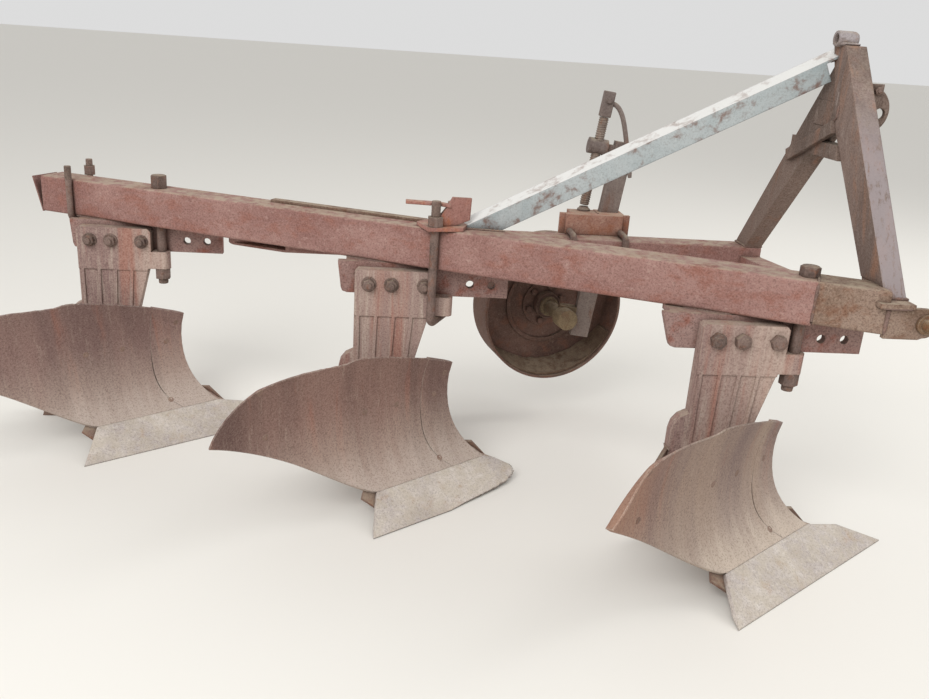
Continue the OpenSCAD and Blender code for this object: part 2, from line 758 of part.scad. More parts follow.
// flat bar from the standard to the back of the wing, with a pad at each end
stay_s = 560;
stay_z = 290;
module stay(k) {
    n = back_of(stay_s, stay_z);
    pad = 12;
    foot = board_at(stay_s, stay_z) + n * (board_t + seat + 0.3);
    tip = foot + n * pad;
    base = [shoulder_x - 2, -68, 300];
    run = base - tip;
    color("#6a4a40") at_body(k) difference() {
        union() {
            translate(foot) rotate([0, acos(n[2]), atan2(n[1], n[0])]) cylinder(d = 52, h = pad + 4);
            translate(tip) rotate([0, acos(run[2] / norm(run)), atan2(run[1], run[0])])
                translate([-20, -5, 0]) cube([40, 10, norm(run) + 20]);
        }
        translate([shoulder_x, -200, 200]) cube([300, 400, 300]);
    }
}

module upright_bolts() {
    nut_top = head_step + 7 - seat;
    color("#77503f") for (k = [0, 2]) along_beam() translate([-k * step_len, 0, 0]) union() {
        translate([0, 0, 446]) cylinder(d = bolt_d, h = beam_top + 2 - 446);
        translate([0, 0, beam_top + seat]) cylinder(d = 46, h = 22 + 6 * k, $fn = 6);
        translate([0, 0, nut_top - 30]) cylinder(d = 44, h = 30, $fn = 6);
    }
}

// a U bolt: its bar lies below z = 0, and its legs rise gap apart
module u_bolt(d, gap, bend, right_leg, left_leg) {
    for (side = [-1, 1]) {
        translate([0, side * gap / 2, bend - d / 2])
            cylinder(d = d, h = (side < 0 ? right_leg : left_leg) + d / 2 - bend);
        translate([0, side * (gap / 2 - bend), bend - d / 2]) rotate([0, 90, 0]) rotate([0, 0, side > 0 ? 0 : -90])
            rotate_extrude(angle = 90) translate([bend, 0]) circle(d = d);
    }
    translate([0, bend - gap / 2, -d / 2]) rotate([-90, 0, 0]) cylinder(d = d, h = gap - 2 * bend);
}

leg_gap = beam_w + ubolt_d + 2 * seat;
ubolt_bend = ubolt_d / 2 + edge_r + seat;
module repair_u_bolt() {
    color("#4d4440") along_beam() translate([-clamp_s, 0, 0]) union() {
        translate([0, 0, ubolt_low - seat])
            u_bolt(ubolt_d, leg_gap, ubolt_bend, beam_top + 74 - ubolt_low, beam_top + 56 - ubolt_low);
        for (side = [-1, 1])
            translate([0, side * leg_gap / 2, beam_top + clamp_t + 2 * seat]) cylinder(d = 40, h = 24, $fn = 6);
    }
}

module clamp_plate() {
    color("#a0603c") difference() {
        along_beam() translate([-clamp_s, 0, beam_top + seat]) difference() {
            linear_extrude(clamp_t)
                polygon([[-62, -28], [-6, -leg_gap / 2 - 28], [66, -34], [52, 78], [-34, 88]]);
            for (side = [-1, 1])
                translate([0, side * leg_gap / 2, -1]) cylinder(d = ubolt_d + 1, h = clamp_t + 2);
        }
        strut();
    }
}

module bent_strap() {
    strap_t = 8;
    foot_z = beam_top + clamp_t + 2 * seat;
    color("#b0602f") along_beam() translate([-clamp_s, 0, foot_z]) union() {
        translate([18, -46, 0]) rotate([0, 0, 24]) upright(0, strap_t)
            polygon([[6, 0], [30, 0], [58, 16], [58, 70], [22, 82], [14, 60]]);
        translate([18, -46, 0]) rotate([0, 0, 24]) translate([20, 4, 70]) rotate([0, -90, 6])
            cylinder(d = 13, h = 115);
    }
}

// the rear U bolt sits askew on the beam
rear_rod = 18;
rear_skew = 11;
module rear_u_bolt() {
    gap = (beam_w + rear_rod + 2 * seat) / cos(rear_skew);
    color("#7a4c3a") along_beam() translate([-2023, 0, 0]) rotate([0, 0, rear_skew]) union() {
        translate([0, 0, beam_low - seat])
            u_bolt(rear_rod, gap, rear_rod / 2 + edge_r + seat, beam_h + 40, beam_h + 46);
        translate([0, gap / 2, beam_top + seat]) cylinder(d = 34, h = 26, $fn = 6);
    }
}

// the post's own frame: along the post, zero at the axle's height
module along_post() {
    place() translate([post_x, post_y, axle_z]) rotate([0, post_lean, 0]) children();
}

module post_section(extra) {
    square([post_w + 2 * extra, post_t + 2 * extra], center = true);
}

bracket_x0 = -828;
bracket_x1 = -620;
wheel_bracket_z0 = 588;
wheel_bracket_z1 = 717;
module wheel_bracket() {
    plate_y = long_left + seat;
    plate_t = 14;
    color("#a5503a") difference() {
        union() {
            place() translate([bracket_x0, plate_y, wheel_bracket_z0])
                cube([bracket_x1 - bracket_x0, plate_t, wheel_bracket_z1 - wheel_bracket_z0]);
            place() translate([bracket_x0 + 16, plate_y - 16, long_top + seat])
                cube([bracket_x1 - bracket_x0 - 40, 17, wheel_bracket_z1 - long_top - seat]);
            intersection() {
                along_post() translate([0, 0, 170]) linear_extrude(200)
                    square([post_w + 2 * guide_wall + 2 * post_gap, 200], center = true);
                place() translate([bracket_x0, plate_y, wheel_bracket_z0])
                    cube([300, post_y + post_t / 2 + post_gap + guide_wall - plate_y, wheel_bracket_z1 - wheel_bracket_z0]);
            }
            place() translate([-795, plate_y, wheel_bracket_z1 - 30]) cube([80, 74, 30]);
        }
        along_post() linear_extrude(500) post_section(post_gap);
    }
}

module wheel_u_bolts() {
    rod = 18;
    color("#5a463e") place() for (x = [-800, -648])
        translate([x, long_y - seat, long_top - long_h / 2]) rotate([-90, 0, 0])
            u_bolt(rod, long_h + rod + 2 * seat, rod / 2 + edge_r + seat, long_w - 18, long_w);
}

module wheel_post() {
    color("#6b5448") along_post() union() {
        translate([0, 0, post_bottom]) linear_extrude(post_top - post_bottom) post_section(0);
        // arm and drum of the nut
        translate([-screw_off, 0, nut_up]) difference() {
            union() {
                rotate([0, 90, 0]) cylinder(d = nut_d, h = 56, center = true);
                translate([20, -10, -12]) cube([screw_off - 20 - post_w / 2 + 2, 20, 24]);
            }
            translate([0, 0, -40]) cylinder(d = screw_d + 1, h = 80);
        }
    }
}

screw_top = 600;
module depth_screw() {
    foot = (wheel_bracket_z1 - axle_z) / cos(post_lean) - 30;
    color("#4c4238") difference() {
        along_post() translate([-screw_off, 0, foot]) cylinder(d = screw_d, h = screw_top - foot);
        place() translate([-900, 500, wheel_bracket_z1 - 100]) cube([300, 300, 100 + 0.2]);
    }
}

module depth_crank() {
    head = screw_top + seat;
    rod = 14;
    bend = 50;
    reach = post_w / 2 + 14;
    color("#5a4a46") along_post() union() {
        translate([-screw_off - 20, -20, head]) cube([40, 40, 72]);
        translate([-screw_off, 0, head + 52]) rotate([0, 90, 0]) cylinder(d = rod, h = screw_off + reach - bend);
        translate([reach - bend, 0, head + 52 - bend]) rotate([90, 0, 0])
            rotate_extrude(angle = 90) translate([bend, 0]) circle(d = rod);
        translate([reach, 0, head + 52 - bend - 150]) cylinder(d = rod, h = 150);
    }
}

// the axle's own frame: zero at its near end, Y along it
module along_axle() {
    place() translate([post_x - 60, axle_y, axle_z]) rotate([0, 0, toe]) children();
}

module turned(y, d, h) {
    translate([0, y, 0]) rotate([-90, 0, 0]) cylinder(d = d, h = h);
}

module wheel_axle() {
    color("#7d6a35") union() {
        along_axle() union() {
            turned(0, axle_d, hub_start + hub_len + 24);
            turned(hub_start - 12 - 0.6, axle_d + 18, 12);
            turned(hub_start + hub_len + 0.6, axle_d + 14, 18);
        }
        along_axle() turned(-16, axle_d + 20, 46);
        along_post() translate([-post_w / 2 - 52, -20, -26]) cube([52 - seat, 34, 54]);
    }
}

module wheel() {
    color("#4a342c") along_axle() difference() {
        union() {
            difference() {
                turned(near_rim, wheel_d, rim_w);
                turned(near_rim - 1, wheel_d - 2 * rim_t, rim_w + 2);
            }
            turned(near_rim + disc_in, wheel_d - rim_t, disc_t);
            turned(hub_start, hub_d, hub_len);
            turned(near_rim + disc_in - 8, 150, disc_t + 8);
            difference() {
                turned(near_rim + disc_in - 7, 262, 8);
                turned(near_rim + disc_in - 8, 238, 10);
            }
        }
        turned(hub_start - 1, axle_d + 2 * run_gap, hub_len + 2);
    }
}

main_beam();
beam_front();
longitudinal_beam();
tie_beam();
joint_strip();
hitch_plate_right();
hitch_plate_left();
mast_pad();
hitch_pin_right();
hitch_pin_left();
mast_leg_right();
mast_leg_left();
mast_head();
mast_ties();
top_link_ears();
strut();
bracket(1);  // bracket_1
bracket(2);  // bracket_2
bracket(3);  // bracket_3
standard(1);  // standard_1
standard(2);  // standard_2
standard(3);  // standard_3
breast(1);  // breast_1
breast(2);  // breast_2
breast(3);  // breast_3
wing(1);  // wing_1
wing(2);  // wing_2
wing(3);  // wing_3
share(1);  // share_1
share(2);  // share_2
share(3);  // share_3
landside(1);  // landside_1
landside(2);  // landside_2
landside(3);  // landside_3
stay(1);  // stay_1
stay(2);  // stay_2
stay(3);  // stay_3
upright_bolts();
repair_u_bolt();
clamp_plate();
bent_strap();
rear_u_bolt();
wheel_bracket();
wheel_u_bolts();
wheel_post();
wheel_axle();
depth_screw();
depth_crank();
wheel();
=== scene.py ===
"""Looks of the three-furrow plough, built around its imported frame.

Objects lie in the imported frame, in metres. The pieces are written in the working frame of the
part's source, in millimetres: zero at the front body's share point, X along travel, Y to the land
side, Z up. W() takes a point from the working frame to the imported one.
"""

import math
import random

import bmesh
import bpy
from mathutils import Matrix, Vector


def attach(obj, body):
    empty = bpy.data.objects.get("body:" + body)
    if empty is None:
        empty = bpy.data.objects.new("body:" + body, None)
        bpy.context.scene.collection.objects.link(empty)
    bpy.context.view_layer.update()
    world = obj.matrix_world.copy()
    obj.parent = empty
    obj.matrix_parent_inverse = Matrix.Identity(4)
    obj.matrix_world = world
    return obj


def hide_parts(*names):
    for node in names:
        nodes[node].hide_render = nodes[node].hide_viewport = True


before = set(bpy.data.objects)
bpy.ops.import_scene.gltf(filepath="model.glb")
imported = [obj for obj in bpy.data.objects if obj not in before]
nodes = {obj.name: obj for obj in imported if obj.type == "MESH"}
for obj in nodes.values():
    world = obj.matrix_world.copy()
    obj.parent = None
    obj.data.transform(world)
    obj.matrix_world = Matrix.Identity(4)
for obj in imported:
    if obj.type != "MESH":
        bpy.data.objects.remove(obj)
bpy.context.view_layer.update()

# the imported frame's zero in the working frame
ORIGIN_X, ORIGIN_Y = -1255.24, 156.55

# the photo's camera: place, turns in radians, width and focal length in pixels
CAMERA_PLACE = (-1340, -1946, 1185)
CAMERA_YAW, CAMERA_PITCH, CAMERA_ROLL = 0.101, 0.339, 0.069
PHOTO_WIDTH = 929
FOCAL_PIXELS = 887.0

# the three bodies, and the step from each to the next along travel and across it
BODIES = (1, 2, 3)
STEP_ALONG, STEP_ACROSS = 800, 350
BODY_STEP = Vector((-STEP_ALONG, STEP_ACROSS, 0))
STEP_LENGTH = math.hypot(STEP_ALONG, STEP_ACROSS)

FORWARD, REARWARD = (1, 0, 0), (-1, 0, 0)
LEFT, RIGHT = (0, 1, 0), (0, -1, 0)
UP, DOWN = (0, 0, 1), (0, 0, -1)


def W(x, y, z):
    """Packed-frame point, in metres, of a working-frame point in millimetres."""
    return Vector(((x - ORIGIN_X) / 1000, (y - ORIGIN_Y) / 1000, z / 1000))


def make_camera():
    """The camera that took the photo."""
    yaw, pitch, roll = CAMERA_YAW, CAMERA_PITCH, CAMERA_ROLL
    ahead = Vector((math.sin(yaw) * math.cos(pitch), math.cos(yaw) * math.cos(pitch), -math.sin(pitch)))
    level = Vector((math.cos(yaw), -math.sin(yaw), 0))
    upright = level.cross(ahead)
    right = math.cos(roll) * level + math.sin(roll) * upright
    up = -math.sin(roll) * level + math.cos(roll) * upright
    data = bpy.data.cameras.new("photo_camera")
    data.sensor_fit = "HORIZONTAL"
    data.sensor_width = 36.0
    data.lens = FOCAL_PIXELS / PHOTO_WIDTH * data.sensor_width
    data.clip_start, data.clip_end = 0.05, 200
    camera = bpy.data.objects.new("photo_camera", data)
    bpy.context.scene.collection.objects.link(camera)
    turn = Matrix((right, up, -ahead)).transposed().to_4x4()
    camera.matrix_world = Matrix.Translation(W(*CAMERA_PLACE)) @ turn
    bpy.context.scene.camera = camera


make_camera()


def linear(colour):
    """Linear RGBA of an sRGB colour written as #rrggbb."""
    parts = [int(colour[i : i + 2], 16) / 255 for i in (1, 3, 5)]
    return [c / 12.92 if c <= 0.04045 else ((c + 0.055) / 1.055) ** 2.4 for c in parts] + [1.0]


class Graph:
    """Small helper for building one material's nodes."""

    def __init__(self, name):
        self.material = bpy.data.materials.new(name)
        self.material.use_nodes = True
        self.tree = self.material.node_tree
        self.tree.nodes.clear()

    def node(self, kind, **settings):
        """A new node of this kind, with these settings."""
        made = self.tree.nodes.new(kind)
        for key, value in settings.items():
            setattr(made, key, value)
        return made

    def feed(self, socket, value):
        """Link a socket to an input, or set the input to a constant."""
        if isinstance(value, bpy.types.NodeSocket):
            self.tree.links.new(value, socket)
        else:
            socket.default_value = value

    def math(self, operation, a, b=0.5):
        """One sum of two numbers, each a socket or a constant."""
        made = self.node("ShaderNodeMath", operation=operation)
        self.feed(made.inputs[0], a)
        self.feed(made.inputs[1], b)
        return made.outputs[0]

    def times(self, a, b):
        return self.math("MULTIPLY", a, b)

    def dot(self, a, b):
        """Dot product of two vectors, each a socket or three numbers."""
        made = self.node("ShaderNodeVectorMath", operation="DOT_PRODUCT")
        self.feed(made.inputs[0], a)
        self.feed(made.inputs[1], b)
        return made.outputs["Value"]

    def parts(self, vector):
        """The X, Y and Z of a vector, as sockets."""
        made = self.node("ShaderNodeSeparateXYZ")
        self.feed(made.inputs[0], vector)
        return made.outputs

    def mix(self, amount, a, b, blend="MIX"):
        """Colour a mixed with colour b, which are the node's sockets 6 and 7."""
        made = self.node("ShaderNodeMix", data_type="RGBA", blend_type=blend)
        self.feed(made.inputs[0], amount)
        self.feed(made.inputs[6], a)
        self.feed(made.inputs[7], b)
        return made.outputs[2]

    def ramp(self, value, low, high, start=0.0, end=1.0):
        """Value mapped from low..high to start..end, clamped and smoothed."""
        made = self.node("ShaderNodeMapRange", interpolation_type="SMOOTHSTEP")
        for socket, number in zip(made.inputs, (value, low, high, start, end)):
            self.feed(socket, number)
        return made.outputs[0]

    def scaled(self, vector, scale):
        """The vector, stretched by three numbers."""
        made = self.node("ShaderNodeMapping")
        self.feed(made.inputs["Vector"], vector)
        made.inputs["Scale"].default_value = scale
        return made.outputs[0]

    def noise(self, vector, scale, detail=5.0, rough=0.6, warp=0.0):
        """A noise's value at this place, from 0 to 1."""
        made = self.node("ShaderNodeTexNoise")
        self.feed(made.inputs["Vector"], vector)
        for key, number in (("Scale", scale), ("Detail", detail), ("Roughness", rough), ("Distortion", warp)):
            made.inputs[key].default_value = number
        return made.outputs[0]

    def down_the_board(self, place):
        """Coordinates whose streaks run down a moldboard: along its level lines, nothing, and height."""
        height = self.parts(place)[2]
        level = self.dot(place, (-1, -0.12, 0))
        # how far the breast has come back at this height
        fall = self.math("EXPONENT", self.math("DIVIDE", height, -0.085))
        back = self.times(self.math("SUBTRACT", 1.0, fall), 0.12)
        joined = self.node("ShaderNodeCombineXYZ")
        self.feed(joined.inputs[0], self.math("SUBTRACT", level, back))
        self.feed(joined.inputs[2], height)
        return joined.outputs[0]


SPECK_TINT = "#7d6a60"
# dark brown of the painted shade in corners and hollows
CORNER_SHADE = "#4b3a30"


def weathered(
    name, base, dark, warm, pale, warm_share=0.45, pale_share=0.5, stretch=(1, 1, 1), speck=0.35,
    dust="#b3a791", dust_top=0.45, dust_from=0.36, worn="#a8917f", worn_share=0.35, rough=0.85, pit=0.35,
    corner_shade_share=0.7, rust_over=0.0, gradients=(), painted_lit_side=None, flowing=False,
):
    """Rusted or painted steel: broad tones, patches, specks, earth on what faces up, and worn edges.

    base and dark are the broad tones, warm is the rust and pale the mottles. A share is how much of
    the surface a tone takes, from 0 to 1.
    gradients are tones that come in along a direction: tone, amount, direction, start and full.
    The side tone is painted light on the faces that look one way, below a height: tone, direction, height,
    amount.
    """
    g = Graph(name)
    place = g.node("ShaderNodeTexCoord").outputs["Object"]
    normal = g.node("ShaderNodeNewGeometry").outputs["Normal"]
    along = g.scaled(g.down_the_board(place) if flowing else place, stretch)
    broad = g.noise(along, 4.5, 4, 0.6, 0.4)
    patch = g.noise(along, 23, 7, 0.65, 0.3)
    grain = g.noise(along, 95, 5, 0.7)
    fine = g.noise(place, 230, 4, 0.78)

    def tinted(colour, amount, tone):
        return g.mix(amount, colour, linear(tone))

    # broad tones, rusty patches and pale mottles
    colour = g.mix(g.ramp(broad, 0.38, 0.64), linear(base), linear(dark))
    rust = g.ramp(patch, 0.62 - 0.3 * warm_share, 0.78 - 0.2 * warm_share, 0, 0.9)
    colour = tinted(colour, rust, warm)
    mottled = g.times(g.ramp(grain, 0.62 - 0.25 * pale_share, 0.8), g.ramp(patch, 0.7, 0.35))
    colour = tinted(colour, g.times(mottled, 0.85), pale)
    for tone, amount, direction, start, full in gradients:
        ragged = g.math("ADD", g.dot(place, direction), g.ramp(patch, 0.3, 0.7, -0.03, 0.03))
        colour = tinted(colour, g.times(g.ramp(ragged, start, full), amount), tone)
    # dark and pale specks
    speckled = g.mix(1.0, colour, linear(SPECK_TINT), "MULTIPLY")
    colour = g.mix(g.times(g.ramp(fine, 0.5, 0.62), speck), colour, speckled)
    colour = tinted(colour, g.times(g.ramp(fine, 0.48, 0.36), speck * 0.5), pale)
    # earth and dust on what faces up, and rust on top of it
    facing = g.ramp(g.parts(normal)[2], 0.45, 0.95)
    lying = g.times(facing, g.ramp(g.noise(place, 34, 6, 0.7), dust_from, dust_from + 0.24))
    colour = tinted(colour, g.times(lying, dust_top), dust)
    colour = tinted(colour, g.times(rust, rust_over), warm)
    # painted light: a paler tone on the faces that look one way, below a height
    if painted_lit_side:
        tone, direction, top, amount = painted_lit_side
        low = g.ramp(g.parts(place)[2], top + 0.08, top - 0.12)
        turned = g.ramp(g.dot(normal, direction), 0.3, 0.8)
        share = g.times(g.times(low, turned), amount)
        colour = tinted(colour, g.times(share, g.ramp(grain, 0.7, 0.5)), tone)
    # rubbed edges
    rounded = g.node("ShaderNodeBevel", samples=4)
    rounded.inputs["Radius"].default_value = 0.004
    edge = g.ramp(g.dot(rounded.outputs[0], normal), 0.985, 0.86)
    rubbed = g.times(edge, g.ramp(grain, 0.36, 0.6))
    colour = tinted(colour, g.times(rubbed, worn_share), worn)
    # painted shade: a dark brown laid where the surface is hidden in corners and hollows
    # the occlusion below is painted shade, not a material colour
    shade = g.node("ShaderNodeAmbientOcclusion", samples=4)
    shade.inputs["Distance"].default_value = 0.035
    corner_shade = g.ramp(shade.outputs["AO"], 0.75, 0.25)
    colour = tinted(colour, g.times(corner_shade, corner_shade_share), CORNER_SHADE)
    # pits
    dents = g.node("ShaderNodeBump")
    dents.inputs["Strength"].default_value = pit
    dents.inputs["Distance"].default_value = 0.0016
    g.feed(dents.inputs["Height"], g.math("ADD", g.times(grain, 0.7), g.times(fine, 0.3)))
    g.feed(dents.inputs["Normal"], rounded.outputs[0])
    surface = g.node("ShaderNodeBsdfPrincipled")
    g.feed(surface.inputs["Base Color"], colour)
    g.feed(surface.inputs["Roughness"], g.ramp(grain, 0.3, 0.7, rough - 0.12, min(1.0, rough + 0.1)))
    surface.inputs["Specular IOR Level"].default_value = 0.3
    g.feed(surface.inputs["Normal"], dents.outputs[0])
    g.feed(g.node("ShaderNodeOutputMaterial").inputs[0], surface.outputs[0])
    return g.material


def board_look(name, base, dark, *gradients):
    """Streaked steel of a breast and its wing."""
    return weathered(name, base, dark, "#936557", "#b7a597", warm_share=0.25, pale_share=0.4,
                     stretch=(1, 1, 0.09), dust_top=0.1, rough=0.8, gradients=gradients, flowing=True,
                     corner_shade_share=0.3, speck=0.42, worn="#cbbdb0", worn_share=0.75)


# pale earth that comes in towards the foot of a board, and rust towards its tail
DUSTY_FOOT = ("#b1a194", 0.64, DOWN, -0.32, -0.08)
PALE_FOOT = ("#c6bab0", 0.5, DOWN, -0.17, -0.045)
BRIGHT_FOOT = ("#c6b8a9", 0.8, DOWN, -0.16, -0.05)
RUSTY_TAIL = ("#a5765e", 0.6, REARWARD, -0.60, -0.36)

# close-grained metal of small pieces
SMALL = (2, 2, 2)

LOOKS = {
    "beam": weathered("beam_paint", "#9b7870", "#87625b", "#8d5f53", "#b79c92", warm_share=0.5, dust_top=0.55,
                      stretch=(0.6, 0.6, 1), speck=0.4),
    "hitch": weathered("hitch_steel", "#917b6d", "#735b4b", "#7b5845", "#b09d8b", warm_share=0.5, speck=0.5),
    "pin": weathered("pin_steel", "#83694f", "#67493a", "#83553b", "#ab967c", worn="#c0b3a2", rough=0.6),
    "mast": weathered("mast_steel", "#7e6b61", "#62534b", "#886553", "#9f9289", warm_share=0.35,
                      stretch=(1, 1, 0.2), speck=0.5),
    # the right leg gets painted light, a paler lavender tone on its faces that look right, below about 1.08 m
    "mast_right": weathered("mast_right_steel", "#87736a", "#6b5a52", "#94705c", "#a89c96", warm_share=0.38,
                            stretch=(1, 1, 0.2), speck=0.4, painted_lit_side=("#9c9293", RIGHT, 1.08, 0.8)),
    "boss": weathered("boss_steel", "#a39b9c", "#877b78", "#8f7263", "#bdb6b4", warm_share=0.3,
                      stretch=SMALL),
    "post": weathered("post_steel", "#82756e", "#6a5d58", "#7a5a4a", "#9f958d", warm_share=0.35,
                      stretch=(1, 1, 0.3)),
    "strut": weathered("strut_steel", "#b5bcbd", "#a3aeb0", "#7f655b", "#c6cbca", warm_share=0.42,
                       worn="#8a6d5c", speck=0.25, dust="#e4e1dc", dust_top=0.9, rough=0.6, pale_share=0.4,
                       dust_from=0.12, rust_over=0.6),
    "bracket": weathered("bracket_paint", "#967b74", "#815f58", "#8b5648", "#b0968d", warm_share=0.45,
                         speck=0.5),
    "standard": weathered("standard_iron", "#ad968b", "#8d736d", "#9f7264", "#cbbcac", warm_share=0.45,
                          stretch=(1, 1, 0.06), corner_shade_share=0.25, speck=0.4, pale_share=0.75),
    "board_1": board_look("board_steel_1", "#a18b7c", "#84706a", RUSTY_TAIL, DUSTY_FOOT, BRIGHT_FOOT),
    "board_2": board_look("board_steel_2", "#8f7167", "#705751", DUSTY_FOOT, PALE_FOOT),
    "board_3": board_look("board_steel_3", "#90746c", "#7a615c", DUSTY_FOOT, PALE_FOOT),
    "share": weathered("share_steel", "#cbc2b9", "#aea4a0", "#b5a190", "#e0d9cf", warm_share=0.25, speck=0.4,
                       worn="#dcd5cb", rough=0.7, pale_share=0.7),
    "landside": weathered("landside_steel", "#846c60", "#6c554a", "#85573f", "#a08c7c"),
    "clamp": weathered("clamp_paint", "#ad8372", "#946c5d", "#a26d55", "#c3a695", warm_share=0.5),
    "strap": weathered("strap_rust", "#a0746a", "#875d55", "#a8694c", "#b9948a", warm_share=0.45,
                       stretch=(1, 1, 0.4)),
    "wheel": weathered("wheel_steel", "#765c52", "#5b463e", "#7a5546", "#957f70", warm_share=0.4),
    "axle": weathered("axle_paint", "#85735a", "#6e5f4c", "#715442", "#a3946f", warm_share=0.35),
    "bolt": weathered("bolt_steel", "#7b675f", "#5f4f49", "#7a5545", "#9a897d", warm_share=0.4,
                      stretch=SMALL),
    "plate_bolt": weathered("plate_bolt_steel", "#8a7266", "#776055", "#8c6454", "#a39184", warm_share=0.3,
                            stretch=SMALL, worn_share=0.2, corner_shade_share=0.4),
    "screw": weathered("screw_steel", "#887a70", "#6c5f57", "#7f5f4c", "#aa9d92", stretch=SMALL, rough=0.7),
    "weld": weathered("weld_rust", "#806860", "#66514a", "#84604f", "#9c8a80", stretch=SMALL, pit=0.2),
    "earth": weathered("dry_earth", "#7a6654", "#5f4c3e", "#6b5545", "#9b8a76", stretch=SMALL, dust_top=0.3,
                       rough=0.95, pit=0.8),
}

# look of a node by the start of its name; the first that fits counts
LOOK_STARTS = (
    ("main_beam", "beam"), ("longitudinal", "beam"), ("tie_beam", "beam"), ("joint_strip", "hitch"),
    ("beam_front", "hitch"), ("hitch_plate", "hitch"), ("mast_pad", "hitch"), ("hitch_pin", "pin"),
    ("mast_leg_right", "mast_right"), ("mast", "mast"), ("top_link", "mast"), ("strut", "strut"),
    ("bracket", "bracket"), ("standard", "standard"), ("share", "share"), ("landside", "landside"),
    ("stay", "landside"), ("clamp_plate", "strap"), ("bent_strap", "strap"), ("wheel_bracket", "clamp"),
    ("wheel_axle", "axle"), ("wheel_u", "bolt"), ("wheel_post", "post"), ("wheel", "wheel"),
)


def look_of(node):
    if node.startswith(("breast", "wing")):
        return f"board_{node[-1]}"
    return next((look for start, look in LOOK_STARTS if node.startswith(start)), "bolt")


def smooth_faces(piece, degrees):
    """Smooth shading, but for edges sharper than this."""
    for face in piece.data.polygons:
        face.use_smooth = True
    piece.data.set_sharp_from_angle(angle=math.radians(degrees))


for name, piece in nodes.items():
    piece.data.materials.clear()
    piece.data.materials.append(LOOKS[look_of(name)])
    smooth_faces(piece, 24)

# sizes from here on are millimetres in the working frame, as in the part's source
BOLT_X, BOLT_Y = -378, -66
BEAM_TURN = math.atan2(STEP_ACROSS, STEP_ALONG)
BEAM_W, BEAM_TOP = 95, 724.0
FRONT_SEAM_S = 20
CLAMP_S, REAR_CLAMP_S = -886, -2023
REPAIR_ROD, REAR_ROD = 22, 18
SEAT = 0.3
MAST_TOP, LEG_TOP_Y = 1222, 169
BOLT_HOLE_Z = 570
HEAD_BOLTS_X = (-574, -516, -431)

POST_X, POST_Y, POST_LEAN = -714, 660, math.radians(7)
SCREW_OFF = 76
BRACKET_TOP, SCREW_TOP = 717, 600
AXLE_X, AXLE_Y, AXLE_Z, TOE = -774, 622, 386, math.radians(13)
NEAR_RIM, DISC_IN, DISC_T, HUB_LEN = 90, 88, 6, 78

BOARD_T, SHARE_T, LANDSIDE_T, LANDSIDE_H = 9.0, 12.0, 12.0, 98
SHARE_TOP, SHARE_BACK, SHARE_LEN = 66, 433, 652


def along(s, t, z):
    """Point at s along the main beam from the front bolt, t to its land side, at height z."""
    cos, sin = math.cos(BEAM_TURN), math.sin(BEAM_TURN)
    return Vector((BOLT_X + s * cos + t * sin, BOLT_Y - s * sin + t * cos, z))


def on_post(x, y, z):
    """Point in the wheel post's frame: z up the post, zero at the axle's height."""
    cos, sin = math.cos(POST_LEAN), math.sin(POST_LEAN)
    return Vector((POST_X + x * cos + z * sin, POST_Y + y, AXLE_Z - x * sin + z * cos))


def on_axle(x, y, z):
    """Point in the axle's frame: y along the axle from its near end."""
    cos, sin = math.cos(TOE), math.sin(TOE)
    return Vector((AXLE_X + x * cos - y * sin, AXLE_Y + x * sin + y * cos, AXLE_Z + z))


def level_angle(z):
    """Turn of the board's level line at height z."""
    edge_angle, twist_angle, twist_z = 35.7, 43.6, 333
    return math.radians(edge_angle + (twist_angle - edge_angle) * z / twist_z)


def board_at(s, z):
    """Point of a moldboard's face: s along the level line at height z."""
    lift_z, lift_x, neck_x, neck_z, overhang = 63, 182, 345, 270, 0.0025
    slope = lift_z / lift_x
    if z <= lift_z:
        back = z / slope
    elif z >= neck_z:
        back = neck_x - overhang * (z - neck_z) ** 2
    else:
        bend_z = lift_z + (neck_x - lift_x) * slope
        a, b = lift_z - 2 * bend_z + neck_z, 2 * (bend_z - lift_z)
        t = (-b + math.sqrt(b * b + 4 * a * (z - lift_z))) / (2 * a)
        back = lift_x * (1 - t) ** 2 + 2 * neck_x * t * (1 - t) + neck_x * t * t
    turn = level_angle(z)
    return Vector((-back - s * math.cos(turn), -s * math.sin(turn), z))


# depth of the wings' dish, where along the board it starts and ends, and how high it grows
DISH = 90.0
WING_START, WING_END = 127.0, 780.0
DISH_LOW_Z, DISH_HEIGHT = 120, 300


def wing_at(s, z):
    """Point of a wing's face: the board's surface, dished between its seam and its tip."""
    u = min(1.0, max(0.0, (s - WING_START) / (WING_END - WING_START)))
    rise = max(0.0, (z - DISH_LOW_Z) / DISH_HEIGHT) ** 1.5
    # 6.75 u u (1 - u) is 1 where it is deepest, two thirds of the way along
    return board_at(s, z) - Vector((DISH * 6.75 * u * u * (1 - u) * rise, 0, 0))


def out_of(surface, s, z):
    """Unit vector out of the working face."""
    across = surface(s + 1, z) - surface(s, z)
    up = surface(s, z + 1) - surface(s, z)
    return up.cross(across).normalized()


def bezier(points, t):
    """Point at t on the curve with these control points."""
    points = [Vector(p) for p in points]
    while len(points) > 1:
        points = [a.lerp(b, t) for a, b in zip(points, points[1:])]
    return points[0]


def body_shift(k):
    """Way from the front body to body k."""
    return BODY_STEP * (k - 1)


def circle(steps):
    return [2 * math.pi * i / steps for i in range(steps)]


def axes_for(axis):
    """The axis as a unit vector, and two more across it."""
    axis = Vector(axis).normalized()
    side = axis.cross(Vector((0, 0, 1)))
    if side.length < 0.01:
        side = Vector((1, 0, 0))
    side.normalize()
    return axis, side, axis.cross(side)


